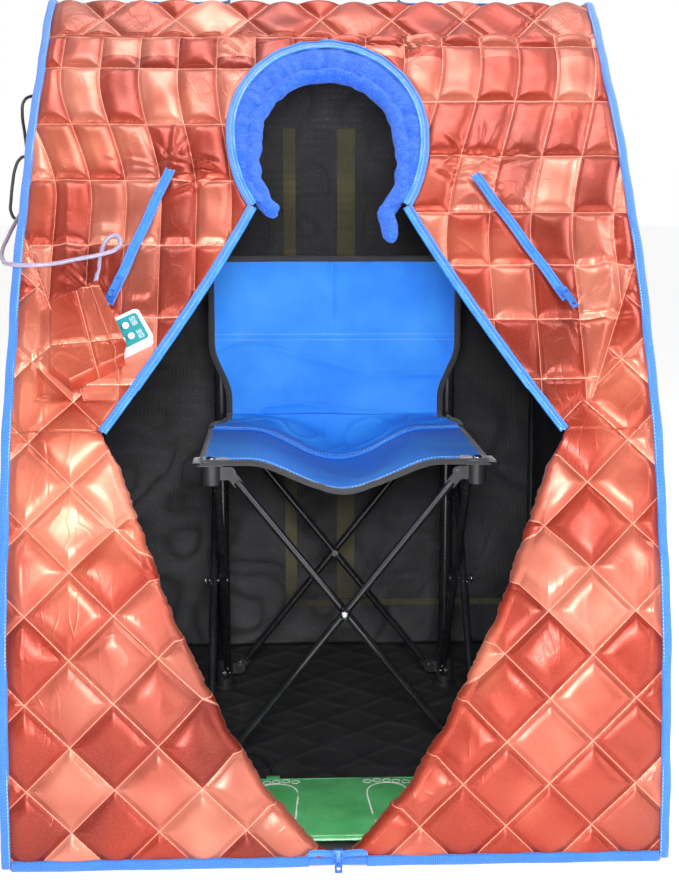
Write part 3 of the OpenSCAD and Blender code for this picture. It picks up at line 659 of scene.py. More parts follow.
def studio():
    """Camera, white floor, a world that is dimmer in front, and five softboxes."""
    scene = bpy.context.scene
    scene.view_settings.view_transform = "Standard"
    lens = bpy.data.cameras.new("camera")
    lens.lens = 59.6
    scene.camera = added("camera", lens, (-0.057, -1.86, 0.69))
    scene.camera.rotation_euler = (math.radians(90 - 9), 0, math.radians(-2.3))

    plane = bpy.data.meshes.new("floor")
    corners = [(-1, -1), (1, -1), (1, 1), (-1, 1)]
    plane.from_pydata([(x * FLOOR_REACH, y * FLOOR_REACH, 0) for x, y in corners], [], [(0, 1, 2, 3)])
    plane.materials.append(material("floor_paint", (0.93, 0.93, 0.93), 0.8, Specular_IOR_Level=0.1,
                                    Emission_Color=(1, 1, 1, 1), Emission_Strength=0.38)[0])
    added("floor", plane, (0, 0, -0.0005))

    scene.world = bpy.data.worlds.new("studio")
    scene.world.use_nodes = True
    tree = scene.world.node_tree
    way = tree.nodes.new("ShaderNodeTexCoord").outputs["Generated"]
    y = node(tree, "ShaderNodeSeparateXYZ", {"Vector": way}).outputs["Y"]
    grey = ramp(tree, calc(tree, "ADD", y, 0.5), [(0.30, 0.20), (0.75, 1.0)])
    tree.links.new(grey, tree.nodes["Background"].inputs["Color"])

    for name, at, aim, size, power in LAMPS:
        lamp = bpy.data.lights.new(name, "AREA")
        lamp.shape = "RECTANGLE"
        lamp.size, lamp.size_y = size
        lamp.energy = power
        box = added(name, lamp, at)
        box.rotation_euler = (Vector(aim) - Vector(at)).to_track_quat("-Z", "Y").to_euler()


def finish_cad():
    """Procedural finishes for the CAD nodes that stay as they are."""
    corners = ("fl", "fr", "rl", "rr")
    arms = [f"arm_{piece}_{side}" for piece in ("slider", "pull") for side in ("left", "right")]
    rods = [f"{side}_rod_{k}" for side in ("front", "left", "right", "rear") for k in "ab"]
    sockets = ["cord_connector", "wall_gland", "pad_plug", "power_inlet"]
    finishes = [
        (FIBRE, ["front_poles", "rear_frame"]),
        (HEATER, ["heater_panels"]),
        (ZIP_METAL, ["main_slider", "main_pull"] + arms),
        (WHITE_PLASTIC, ["remote_back", "remote_front"]),
        (TEAL, ["remote_panel"]),
        (BUTTON_WHITE, [f"button_{k}" for k in range(1, 5)]),
        (BLACK_PLASTIC, sockets + [f"foot_{at}" for at in corners] + [f"hub_{at}" for at in corners]),
        (BLACK_STEEL, ["post_left", "post_right"] + rods),
    ]
    for mat, names in finishes:
        for name in names:
            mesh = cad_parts[name].data
            if not mesh.materials:
                mesh.materials.append(mat)
            for i in range(len(mesh.materials)):
                mesh.materials[i] = mat


# ---------------------------------------------------------------- quilting of the front
EDGE = 0.065                       # side of a diamond
DIAMOND_NODE = (0.317, 0.547)      # a crossing of the diamond seams, as x and arc height
ROWS_LEFT = [0.600, 0.693, 0.786, 0.876, 0.978, 1.040]            # arc heights of the shoulders' level seams
ROWS_RIGHT = [0.525, 0.597, 0.666, 0.739, 0.825, 0.918, 1.024]
COLUMN_LEFT, COLUMN_RIGHT = 0.0475, 0.048                         # width of their columns
LOW_END, HIGH_END = 0.50, 1.045    # arc heights between which the shoulders have squares
HIGH_SQUASH = 0.72                 # the diamonds over them are taller
PUFF = 0.019                       # distance from a seam at which a cell is at its full height
QUILT = 0.0058
CURL, CURL_WIDE = 0.020, 0.075     # how far the flaps' inner edges curve back, and over what width
FOLD_WIDE = 0.058                  # how far a flap's folded edge reaches back inside
ZIPS = {-1: (-0.215, 0.658, 18.5), 1: (0.215, 0.658, 28.0)}       # x, height and lean in degrees, by side
ZIP_HALF = 0.098
ZIP_LIFT = 0.0045
POCKET = (-0.252, 0.548)
REMOTE = (-0.237, 0.545, 28.0)     # x, height and turn in degrees


def local_axes(x, z, spin=0.0):
    """Origin and axes of a flat piece laid on the front: across, up the skin, outwards."""
    slope = float(front_slope(z))
    length = math.hypot(1, slope)
    origin = np.array([x, float(front_y(z)), z])
    up = np.array([0, slope, 1]) / length
    out = np.array([0, -1, slope]) / length
    across = np.array([1.0, 0, 0])
    a = math.radians(spin)
    return origin, math.cos(a) * across + math.sin(a) * up, math.cos(a) * up - math.sin(a) * across, out


def diamonds_at(p, q):
    """Coordinates across the diamond pattern, in metres, which are whole numbers of EDGE on its seams."""
    across, up = p - DIAMOND_NODE[0], q - DIAMOND_NODE[1]
    return (across + up) / math.sqrt(2), (across - up) / math.sqrt(2)


def diamond_gap(p, q):
    """Distance to the nearest seam of the diamond pattern."""
    return np.minimum(*(np.abs(a - EDGE * np.round(a / EDGE)) for a in diamonds_at(p, q)))


def columns(x, s):
    """Coordinate across the shoulders' columns, which lean inwards: a whole number on each seam."""
    base = 0.131 + 0.065 * smooth01((s - 0.68) / 0.34)
    narrow = 0.84 + 0.16 * smooth01((s - 0.75) / 0.22)
    return np.where(x > 0, (np.abs(x) - base) / COLUMN_RIGHT, (np.abs(x) / narrow - 0.087) / COLUMN_LEFT)


def square_gap(x, s):
    """Distance to the nearest seam of the shoulders' pattern: level rows and leaning columns."""
    right, left = (np.min([np.abs(s - row) for row in rows], axis=0) for rows in (ROWS_RIGHT, ROWS_LEFT))
    column = columns(x, s)
    return np.minimum(np.where(x > 0, right, left), np.abs(column - np.round(column)) * 0.047)


def panel_line(x, s):
    """How far outside of the panel seam a point is; beyond it the cloth is quilted in diamonds."""
    shift = np.where(x > 0, 0.274, 0.262)
    return (np.abs(x) - shift - 0.378 * (s - 0.485)) * 0.935


def row_at(s, rows):
    """Coordinate up the shoulders' rows: a whole number on each seam, and evenly on past the last ones."""
    beyond = np.where(s < rows[0], s - rows[0], 0) + np.where(s > rows[-1], s - rows[-1], 0)
    return np.interp(s, rows, np.arange(len(rows))) + beyond / 0.08


def quilt_cells(x, s):
    """Cell coordinates: two that are whole numbers on the seams, and one that is 0 on the panel seam."""
    outside = panel_line(x, s)
    upper = s > HIGH_END
    p, q = diamonds_at(x, s * np.where(upper, HIGH_SQUASH, 1.0))
    squares = (outside < 0) & (s >= LOW_END) & ~upper
    u = np.where(squares, columns(x, s), p / EDGE)
    v = np.where(squares, np.where(x > 0, row_at(s, ROWS_RIGHT), row_at(s, ROWS_LEFT)), q / EDGE)
    w = np.where((s > LOW_END) & (s < 1.0), outside, 0.5) / EDGE
    return np.stack([u, v, w], -1)


def segment_gap(x, s, a, b):
    """Distance from points to a line between two points, and the place along it from 0 to 1."""
    d = np.array(b) - np.array(a)
    t = np.clip(((x - a[0]) * d[0] + (s - a[1]) * d[1]) / (d @ d), 0, 1)
    return np.hypot(x - a[0] - t * d[0], s - a[1] - t * d[1]), t


def pull_lines():
    """Crease lines that run out from where the cloth is held: zip ends, collar and pocket corners."""
    rng = random.Random(7)
    lines = []
    held = [((-0.184, float(arc_at(0.735))), (60, 175), 9), ((-0.246, float(arc_at(0.585))), (95, 150), 7),
            ((0.172, float(arc_at(0.738))), (0, 125), 9), ((0.262, float(arc_at(0.575))), (-70, 75), 9),
            ((-0.122, 0.80), (150, 215), 7), ((0.122, 0.80), (-35, 30), 7),
            ((-0.09, 0.99), (100, 165), 6), ((0.09, 0.99), (15, 80), 6)]
    for (x, s), (low, high), count in held:
        for _ in range(count):
            a = math.radians(rng.uniform(low, high))
            r0, r1 = rng.uniform(0.004, 0.02), rng.uniform(0.03, 0.085)
            b = a + rng.uniform(-0.25, 0.25)
            ends = [(x + r * math.cos(turn), s + r * math.sin(turn)) for r, turn in ((r0, a), (r1, b))]
            lines.append((*ends, rng.uniform(0.0010, 0.0026)))
    return lines


PULLS = pull_lines()
BIG_FOLDS = [  # ends as x and arc height, how tall and how wide
    ((0.322, 0.700), (0.279, 0.500), 0.0075, 0.010), ((0.300, 0.735), (0.312, 0.610), 0.0050, 0.008),
    ((-0.300, 0.790), (-0.292, 0.640), 0.0050, 0.009), ((-0.255, 0.720), (-0.262, 0.600), 0.0055, 0.010),
    ((-0.318, 0.560), (-0.300, 0.380), 0.0045, 0.014), ((0.338, 0.420), (0.330, 0.180), 0.0040, 0.016),
    ((-0.330, 0.330), (-0.322, 0.120), 0.0040, 0.016)]


def under_zip(x, s):
    """Where the cloth comes up to an arm zip's tape: 1 there, 0 away."""
    lying = np.zeros(np.shape(x))
    for side, (zip_x, z, lean) in ZIPS.items():
        a = math.radians(side * lean)
        centre, reach = np.array([zip_x, float(arc_at(z))]), np.array([-math.sin(a), math.cos(a)]) * ZIP_HALF
        gap, _ = segment_gap(x, s, centre - reach, centre + reach)
        lying = np.maximum(lying, 1 - smooth01((gap - 0.0045) / 0.009))
    return lying


def near_flat(x, s):
    """Where the pocket or the remote lies on the cloth, so that it has to stay low: 1 there, 0 away."""
    p, q = x - POCKET[0], s - float(arc_at(POCKET[1]))
    inside = np.maximum.reduce([-0.058 - p, p - 0.052, -0.062 - q, q - 0.046, p * 0.9 + q * 0.45 - 0.062])
    return 1 - smooth01(inside / 0.012)


def puffed(gap, height, width=PUFF, power=2.4):
    """Height of the stuffing at a distance from a seam, and that distance from 0 to 1."""
    t = np.clip(gap / width, 0, 1)
    return height * (1 - (1 - t) ** power), t


def front_relief(x, s):
    """How far the quilted front stands out at x and arc height s."""
    outside = panel_line(x, s)
    upper = s > HIGH_END
    diamonds = (outside > 0) | (s < LOW_END) | upper
    gap = np.where(diamonds, diamond_gap(x, s * np.where(upper, HIGH_SQUASH, 1.0)), square_gap(x, s))
    gap = np.where((s > LOW_END) & (s < 0.68), np.minimum(gap, np.abs(outside)), gap)
    gap = np.maximum(gap + 0.0006 * field(x, s, 11, 0.03), 0)
    high, t = puffed(gap, QUILT)
    # slack in the cells, most of it on the shoulders, and puckers along the seams
    lively = 0.35 + 0.65 * t
    high += lively * 0.0016 * field(x, s, 21, 0.09)
    crumpled = creases(x, s, 31, 0.075, 9, 1.6) * np.clip(field(x, s, 32, 0.12), 0, 1)
    high += np.where(diamonds, 0.45, 1.0) * lively * 0.0010 * crumpled
    pucker = np.sin((x - s) * 2 * math.pi / 0.0085 + 3 * field(x, s, 41, 0.05)) * np.exp(-gap / 0.006)
    high += 0.00025 * pucker * (gap > 0.001)
    for a, b, tall in PULLS:
        away, at = segment_gap(x, s, a, b)
        taper = np.clip(4 * at * (1 - at) + 0.15, 0, 1)
        high += tall * taper * (bell(away, 0.0024) - 0.6 * bell(away - 0.006, 0.003))
    for a, b, tall, wide in BIG_FOLDS:
        away, at = segment_gap(x, s, a, b)
        taper = np.sqrt(np.clip(4 * at * (1 - at), 0, 1))
        side = np.sign((b[0] - a[0]) * (s - a[1]) - (b[1] - a[1]) * (x - a[0]))
        high += tall * taper * bell(away, wide) * np.where(side * np.sign(x) > 0, 1.0, 0.75)
    # gathers at the binding, and lower where something lies on the cloth or holds it
    side_gap = SIDE_IN + 0.002 - np.abs(x)
    gather = np.sin(s * 2 * math.pi / 0.0072 + 2.5 * field(x, s, 51, 0.08))
    high += 0.0009 * gather * np.exp(-np.maximum(side_gap, 0) / 0.008)
    high *= smooth01(side_gap / 0.012) * 0.85 + 0.15
    held, lying = near_flat(x, s), under_zip(x, s)
    high = high * (1 - held) + np.minimum(high, 0.0008) * held
    high = high * (1 - lying) + (ZIP_LIFT - 0.0004) * lying
    return high * (0.15 + 0.85 * smooth01(s / 0.024))


def front_grid(z_low, z_high, side, rows, cols, inner_x):
    """One side of the front from its binding to inner_x, as x, z and arc height at each point."""
    s = np.linspace(float(arc_at(z_low)), float(arc_at(z_high)), rows)
    z = z_at(s)
    inner = inner_x(z)[:, None]
    x = side * (SIDE_IN + 0.003 + (inner - SIDE_IN - 0.003) * np.linspace(0, 1, cols)[None, :])
    return x, np.broadcast_to(z[:, None], x.shape), np.broadcast_to(s[:, None], x.shape), inner


def yoke_half(side):
    """Outer layer, inner layer and cells of the yoke on one side, hemmed along the opening."""
    def inner_x(z):
        return np.where(z > NECK_Z + NECK_UP, 0.0, opening_x(z))
    x, z, s, inner = front_grid(FLAP_TOP - 0.001, TOP - 0.003, side, 220, 106, inner_x)
    hem = smooth01((np.abs(x) - inner) / 0.006)
    high = front_relief(x, s) * np.where(inner > 0, 0.25 + 0.75 * hem, 1.0)
    return skin(x, z, high), skin(x, z, np.minimum(high - 0.0035, -0.0030)), quilt_cells(x, s)


def flap(side):
    """Outer layer, inner layer and cells of a flap, whose inner edge is folded round and back inside."""
    x, z, s, inner = front_grid(0.0012, FLAP_TOP, side, 150, 104, opening_x)
    z1, s1 = z[:, :1], s[:, :1]
    sink = CURL * smooth01(z1 / 0.16) * smooth01((FLAP_TOP - z1) / 0.10)
    high = front_relief(x, s) - sink * (1 - np.clip((np.abs(x) - inner) / CURL_WIDE, 0, 1)) ** 2
    roll = 0.0098 * smooth01((FLAP_TOP - z1) / 0.05) + 0.0012
    ripple = 0.0016 * field(s1, s1 * 0.3, 61, 0.035) + 0.001 * field(s1, s1, 62, 0.012)
    # round the fold
    angle = np.linspace(0, math.pi, 12)[None, 1:]
    round_x = inner - (roll + ripple) * np.sin(angle)
    round_out = (roll + ripple) * (np.cos(angle) - 1) + (high[:, -1:] + sink) * (1 + np.cos(angle)) / 2 - sink
    # and back inside
    inside = np.linspace(0, 1, 14)[None, 1:]
    fold_x = inner + inside * FOLD_WIDE
    fold_out = -2 * roll + 0.002 * field(fold_x, s1, 63, 0.04) + 0.004 * (1 - smooth01((1 - inside) / 0.15))
    fold_out = np.minimum(fold_out, -0.004) - sink
    outer = [skin(x, z, high), skin(side * round_x, z1, round_out), skin(side * fold_x, z1, fold_out)]
    # the underside follows 2.4 mm inside the cloth
    under_x = inner - (np.maximum(roll - 0.0026, 0.0004) + ripple * 0.5) * np.sin(angle)
    under_out = np.minimum((roll - 0.0024) * np.cos(angle) - roll, 0) - sink
    back = [skin(x, z, np.minimum(high - 0.0035, -0.0024)), skin(side * under_x, z1, under_out),
            skin(side * fold_x, z1, fold_out + 0.0024)]
    far = side * np.concatenate([inner - 0.010 * angle / math.pi, inner - 0.010 - FOLD_WIDE * inside], 1)
    cells = [quilt_cells(x, s), quilt_cells(far, np.broadcast_to(s1, far.shape))]
    return tuple(np.concatenate(parts, 1) for parts in (outer, back, cells))


def front():
    """The yoke in two halves joined over the neck, and the two flaps."""
    halves = [yoke_half(side) for side in (-1, 1)]
    rows, cols = halves[0][0].shape[:2]
    joined = halves[0][0][:, -1, 0] == 0        # over the neck, where both halves end on the middle

    def is_open(a, b):
        return a % cols == b % cols == cols - 1 and joined[a // cols] and joined[b // cols]
    (left_verts, left_faces), (right_verts, right_faces) = (two_layers(*half[:2], is_open) for half in halves)
    faces = left_faces + [[i + len(left_verts) for i in face] for face in right_faces]
    yoke = make("front_yoke", np.concatenate([left_verts, right_verts]), faces, COPPER)
    mark_cells(yoke, *(half[2] for half in halves))
    outwards(yoke, weld=2e-5)
    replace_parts(yoke, "yoke_panel")
    for side, name in ((-1, "left"), (1, "right")):
        outer, inner, cells = flap(side)
        cloth = shell(f"{name}_flap_cloth", outer, inner, COPPER, cells)
        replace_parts(cloth, f"{name}_flap")


# ---------------------------------------------------------------- cabin walls, roof and lining
def wall_relief(p, q, seed):
    """Height and cells of a plain wall's quilting, with slack cloth between the seams of its diamonds."""
    gap = np.maximum(diamond_gap(p, q) + 0.0006 * field(p, q, seed, 0.03), 0)
    high, t = puffed(gap, 0.0045)
    high = high + (0.3 + 0.7 * t) * 0.0018 * field(p, q, seed + 1, 0.07)
    high += 0.0008 * creases(p, q, seed + 2, 0.08, 9, 1.5) * np.clip(field(p, q, seed + 3, 0.15), 0, 1)
    high += 0.0003 * np.sin((p - q) * 740 + 3 * field(p, q, seed + 4, 0.05)) * np.exp(-gap / 0.006)
    u, v = diamonds_at(p, q)
    return high, np.stack(np.broadcast_arrays(u / EDGE, v / EDGE, 9.0), -1)


def walls():
    """Side walls, back wall and roof; their cloth is sewn down along every edge."""
    sewn = 0.02
    z = np.linspace(0.0012, TOP - 0.002, 130)
    front_edge = front_y(z)[:, None] + 0.001
    y = front_edge + (HALF_D - 0.001 - front_edge) * np.linspace(0, 1, 118)[None, :]
    Z = np.broadcast_to(z[:, None], y.shape)
    base = HALF_W - 0.0045
    for side, name in ((-1, "left"), (1, "right")):
        high, cells = wall_relief(y, Z, 70 + side)
        edge = np.minimum.reduce([y - front_edge, HALF_D - y, TOP - Z, Z])
        outer = np.stack([side * (base + high * smooth01(edge / sewn)), y, Z], -1)
        inner = np.stack([np.full(y.shape, side * (base - 0.0015)), y, Z], -1)
        wall = shell(f"{name}_wall_cloth", outer, inner, WALL_SATIN, cells)
        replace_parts(wall, f"{name}_wall")

    x = np.linspace(-SIDE_IN - 0.002, SIDE_IN + 0.002, 150)
    X, Z = np.meshgrid(x, np.linspace(0.0012, TOP - 0.002, 190))
    high, cells = wall_relief(X, Z, 80)
    high = high * smooth01(np.minimum.reduce([SIDE_IN - np.abs(X), TOP - Z, Z]) / sewn)
    outer = np.stack([X, HALF_D - 0.0045 + high, Z], -1)
    inner = np.stack([X, np.full(X.shape, HALF_D - 0.006), Z], -1)
    wall = shell("back_wall_cloth", outer, inner, WALL_SATIN, cells)
    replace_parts(wall, "back_wall")

    X, Y = np.meshgrid(x, np.linspace(float(front_y(TOP)) - 0.002, HALF_D - 0.001, 84))
    high, cells = wall_relief(X, Y + 0.9, 90)
    edge = np.minimum.reduce([SIDE_IN + 0.002 - np.abs(X), HALF_D - Y, Y - Y[0, 0]])
    high = high * smooth01(edge / sewn) - 0.004 * smooth01(edge / 0.12)
    outer = np.stack([X, Y, TOP - 0.003 + high], -1)
    inner = np.stack([X, Y, np.minimum(TOP - 0.0045, TOP - 0.005 + high)], -1)
    roof = shell("roof_cloth", outer, inner, COPPER, cells)
    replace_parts(roof, "roof_panel")


def netting(name, origin, across, up, size, outward, seed, shape=lambda t, q: t):
    """A hanging sheet of netting; shape gives the place across it, as a share of its width."""
    pitch = 0.006
    cols, rows = (int(v / pitch) + 2 for v in size)
    t, q = np.meshgrid(np.linspace(0, 1, cols), np.linspace(0, size[1], rows))
    p = shape(t, q) * size[0]
    slack = 0.0022 * field(p, q, seed, 0.22) + 0.0010 * field(p, q, seed + 1, 0.07)
    outward = np.array(outward)
    points = np.array(origin) + p[..., None] * np.array(across) + q[..., None] * np.array(up)
    points = points + slack[..., None] * outward
    return shell(name, points, points - 0.0008 * outward, NETTING)


def lining():
    """Black netting, one sheet on each wall and one under the roof."""
    foot = 0.005
    back = netting("back_lining", (-0.333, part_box("lining")[1].y - 0.0055, foot), (1, 0, 0), (0, 0, 1),
                   (0.666, 0.93), (0, -1, 0), 101)
    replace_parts(back, "lining")

    def slanted(t, q):
        front_edge = front_y(q + foot) + 0.042
        return (0.3775 - front_edge) * t + front_edge
    for side, name in ((-1, "left"), (1, "right")):
        sheet = netting(f"{name}_lining", (side * 0.3345, 0, foot), (0, 1, 0), (0, 0, 1), (1, 0.915),
                        (-side, 0, 0), 110 + side, slanted)
    top = netting("roof_lining", (-0.326, float(front_y(TOP)) + 0.03, TOP - 0.0115), (1, 0, 0), (0, 1, 0),
                  (0.652, 0.24), (0, 0, -1), 120)


def heater_strips():
    """Olive conductor strips that show dimly on the back wall, two upright and one across the bottom."""
    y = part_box("lining")[1].y - 0.0062
    steps = 60
    strips = []
    for x0, x1 in ((-0.052, -0.034), (0.029, 0.056)):
        strips.append([(x, y + 0.0022 * math.sin(z * 9) - 0.0042, z)
                       for z in np.linspace(0.082, 0.81, steps) for x in (x0, x1)])
    strips.append([(x, y - 0.0044, z) for x in np.linspace(-0.052, 0.29, steps) for z in (0.070, 0.080)])
    faces = [[base + k for k in (0, 1, 3, 2)] for strip in range(len(strips))
             for base in range(strip * 2 * steps, strip * 2 * steps + 2 * (steps - 1), 2)]
    piece = make("heater_strips", sum(strips, []), faces, STRIP, smooth=False)
    piece.modifiers.new("thickness", "SOLIDIFY").thickness = 0.0006


# ---------------------------------------------------------------- bindings and handle
def side_edge(side):
    """The binding's path: up the front's edge, over the corner, back along the roof and down behind."""
    x = side * (HALF_W - 0.0005)
    front_run = [(x, *skin(0.0, z, 0.0)[1:]) for z in np.linspace(0.004, TOP - 0.006, 260)]
    y = front_run[-1][1]
    bend = [(x, y + 0.006, TOP - 0.002), (x, y + 0.014, TOP - 0.0005)]
    roof_run = [(x, v, TOP - 0.0005) for v in np.linspace(y + 0.024, HALF_D - 0.012, 60)]
    corner, r = 0.006, 0.0055
    turn = [(x, HALF_D - corner + r * math.sin(a), TOP - corner + r * math.cos(a))
            for a in np.linspace(0.2, math.pi / 2, 7)]
    down = [(x, HALF_D - 0.0005, z) for z in np.linspace(TOP - 0.012, 0.004, 150)]
    path = np.array(front_run + bend + roof_run + turn + down)
    s = lengths(path)
    path[:, 0] += side * (0.0006 * np.sin(s * 31) + 0.0004 * np.sin(s * 83 + 1))
    return path


def binding():
    """Folded webbing round both side edges and along the hem."""
    for side, name in ((-1, "left"), (1, "right")):
        path = side_edge(side)
        up = -np.cross([1.0, 0, 0], np.gradient(path, axis=0))
        tape = sweep(f"{name}_binding", path, up, oval(0.0102, 0.0088, 18, 0.7), WEBBING)
        line = [skin(side * (HALF_W - 0.0040), z, 0.0034) for z in np.linspace(0.004, TOP - 0.006, 260)]
        stitches(f"{name}_binding_stitches", line, 0.0042, (0, -1, 0.4), (0.0030, 0.0008, 0.0007))
        if side < 0:
            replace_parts(tape, "blue_binding")
    thick, thin = oval(0.0116, 0.0062, 14, 0.7), oval(0.0085, 0.0046, 14, 0.7)
    middle, count = 0.031, 90
    for name, x0, x1, profile in (("hem_left", -HALF_W + 0.006, -middle, thick),
                                  ("hem_right", middle, HALF_W - 0.006, thick),
                                  ("hem_middle", -middle, middle, thin)):
        x = np.linspace(x0, x1, count)
        y = -HALF_D - 0.0022 - 0.0005 * np.sin(x * 60)
        sweep(name, np.stack([x, y, np.full(count, 0.0060)], -1), (0, -1, 0), profile, WEBBING)


def strap_handle():
    """Carry handle of flat webbing, with both ends sewn down in crossed boxes."""
    lo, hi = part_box("carry_handle")
    y, half = (lo.y + hi.y) / 2, (hi.y - lo.y) / 2
    x0, x1 = lo.x + 0.002, hi.x - 0.002
    rise = hi.z - 0.0015
    bend, tail = 0.026, 0.128
    left = [(x0 - tail, TOP + 0.0012)]
    left += [(x0 - tail * (1 - t), TOP + 0.0012 + 0.0016 * smooth01((t - 0.9) / 0.1))
             for t in np.linspace(0.05, 0.97, 30)]
    left += [(x0 + 0.001 + 0.002 * t, TOP + 0.004 + (rise - bend - TOP - 0.004) * t)
             for t in np.linspace(0, 1, 12)]
    left += [(x0 + 0.003 + bend * (1 - math.cos(a)), rise - bend + bend * math.sin(a))
             for a in np.linspace(0.12, math.pi / 2, 14)]
    middle = [(x, rise - 0.0022 * math.sin((x - x0) / (x1 - x0) * math.pi) ** 2)
              for x in np.linspace(x0 + bend + 0.008, x1 - bend - 0.008, 30)]
    path = left + middle + [(x0 + x1 - x, z) for x, z in reversed(left)]
    route = resample([(x, y + 0.001 * math.sin(x * 25), z) for x, z in path], 0.0035)
    strap = sweep("handle_strap", route, (0, 1, 0), oval(0.0022, 2 * half - 0.001, 14, 0.6), WEBBING)
    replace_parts(strap, "carry_handle")
    ends = ((x0 - tail + 0.006, x0 - tail + 0.034), (x0 - 0.036, x0 - 0.006),
            (x1 + 0.006, x1 + 0.036), (x1 + tail - 0.034, x1 + tail - 0.006))
    near, far, z = y - half + 0.004, y + half - 0.004, TOP + 0.0026
    for k, (a, b) in enumerate(ends):
        box = [(a, near), (b, near), (b, far), (a, far), (a, near), (b, far), (b, near), (a, far)]
        line = [(*at, z) for at in box]
        stitches(f"handle_stitches_{k + 1}", line, 0.0034, (0, 0, 1), (0.0026, 0.0007, 0.0006))


# ---------------------------------------------------------------- zips
def edge_ring(count=150):
    """The neck hole's edge above the opening, as x and z, from its lower left round to its lower right."""
    low = -math.asin((NECK_Z - NECK_LOW) / NECK_DOWN)
    a = np.linspace(math.pi - low, low, count)
    reach = np.where(np.sin(a) >= 0, NECK_UP, NECK_DOWN)
    return np.stack([NECK_RX * np.cos(a), NECK_Z + reach * np.sin(a)], -1)


def zip_half(name, edge, inward):
    """A zip tape along an edge, a cord bead on its outer side and coil teeth on its inner side."""
    edge = resample(edge, 0.003)
    normal = outwards_at(edge[:, 1])
    wave = (0.0006 * np.sin(np.arange(len(edge)) * 0.55))[:, None] * normal

    def lifted(shift, out):
        return np.array([skin(*inward(p, shift), out) for p in edge])
    across_tape, across_coil, across_bead = 0.0028, 0.0062, -0.0012
    tape = sweep(name, lifted(across_tape, 0.0030) + wave, normal, oval(0.0078, 0.0020, 14, 0.7), TAPE)
    sweep(name + "_bead", lifted(across_bead, 0.0034) + wave, normal, oval(0.0040, 0.0042, 12, 1.0), WEBBING)
    sweep(name + "_cord", lifted(across_coil, 0.0032) + wave, normal, oval(0.0030, 0.0030, 10, 1.0), TEETH)
    fine = resample(lifted(across_coil, 0.0036), 0.0021)
    along, side, _ = frames_along(fine, outwards_at(np.minimum(fine[:, 2], TOP)))
    blocks(name + "_teeth", fine, side, along, (0.0036, 0.0011, 0.0026), TEETH)
    line = resample(lifted(across_tape, 0.0043), 0.0032)
    along, side, _ = frames_along(line, outwards_at(np.minimum(line[:, 2], TOP)))
    blocks(name + "_stitches", line, along, side, (0.0022, 0.0006, 0.0005), THREAD)
    return tape


def zips():
    """The zip halves down both sides of the opening, the ring round the neck, and the closed end at the hem."""
    for side, name in ((-1, "left"), (1, "right")):
        def sideways(p, d):
            return p[0] - side * d * 0.80, p[1] - d * 0.55 * (1 if p[1] > 0.5 else 0.6)
        tape = zip_half(f"{name}_front_zip", [(side * x, z) for x, z in TAPED], sideways)
        if side < 0:
            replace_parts(tape, "zip_tapes")

    def to_middle(p, d):
        v = np.array([p[0], p[1] - NECK_Z])
        v = v / np.array([NECK_RX, NECK_UP if v[1] > 0 else NECK_DOWN]) ** 2
        return np.array(p) - v / np.linalg.norm(v) * d
    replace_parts(zip_half("neck_ring", edge_ring(), to_middle), "neck_zip")

    count = 60
    path = np.stack([np.linspace(-0.031, 0.031, count), np.full(count, -HALF_D - 0.0016),
                     0.0138 + 0.0008 * np.sin(np.linspace(0, 9, count))], -1)
    sweep("hem_zip_tape", path, (0, -1, 0), oval(0.0085, 0.0016, 12, 0.7), TAPE)
    fine = resample(path - np.array([0, 0.0010, 0]), 0.0021)
    blocks("hem_zip_teeth", fine, (0, 0, 1.0), (1.0, 0, 0), (0.0042, 0.0012, 0.0016), TEETH)


def arm_zips():
    """A closed zip over each arm hole: a tape with a bead along each edge and two interlocked rows of coil."""
    for side, (x, z, lean) in ZIPS.items():
        name = f"arm_zip_{'left' if side < 0 else 'right'}"
        origin, across, up, out = local_axes(x, z, side * lean)
        t = np.linspace(-ZIP_HALF, ZIP_HALF, 70)
        centre = origin + t[:, None] * up + (0.0007 * np.sin(t * 90))[:, None] * across * 0.6
        taper = np.clip((ZIP_HALF - np.abs(t)) / 0.004, 0.25, 1)
        tape = sweep(f"{name}_tape", centre + (ZIP_LIFT + 0.0006) * out, out, oval(0.0112, 0.0014, 14, 0.6), TAPE,
                     taper)
        if side < 0:
            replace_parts(tape, "arm_zips")
        for k, off in (("a", -0.0047), ("b", 0.0047)):
            sweep(f"{name}_bead_{k}", centre + (ZIP_LIFT + 0.0013) * out + off * across, out,
                  oval(0.0026, 0.0022, 10, 1.0), WEBBING)
        pitch = 0.0020
        along = np.arange(-ZIP_HALF + 0.004, ZIP_HALF - 0.003, pitch)[:, None]
        fine = origin + along * up + (ZIP_LIFT + 0.0020) * out
        for k, off, step in (("a", -0.0009, 0), ("b", 0.0009, pitch / 2)):
            row = fine + off * across + step * up
            blocks(f"{name}_coil_{k}", row, across, up, (0.0030, 0.0013, 0.0012), TEETH)


# ---------------------------------------------------------------- fleece collar
def collar_arc(inward, a):
    """The neck hole's edge moved inwards, further at the top than at the sides and least at its lower ends."""
    depth = inward * (0.80 + 0.20 * np.maximum(np.sin(a), 0)) * (1 - 0.37 * smooth01(-np.sin(a) / 0.55))
    reach = np.where(np.sin(a) >= 0, NECK_UP, NECK_DOWN) - depth
    return np.stack([(NECK_RX - depth) * np.cos(a), NECK_Z + reach * np.sin(a)], -1)


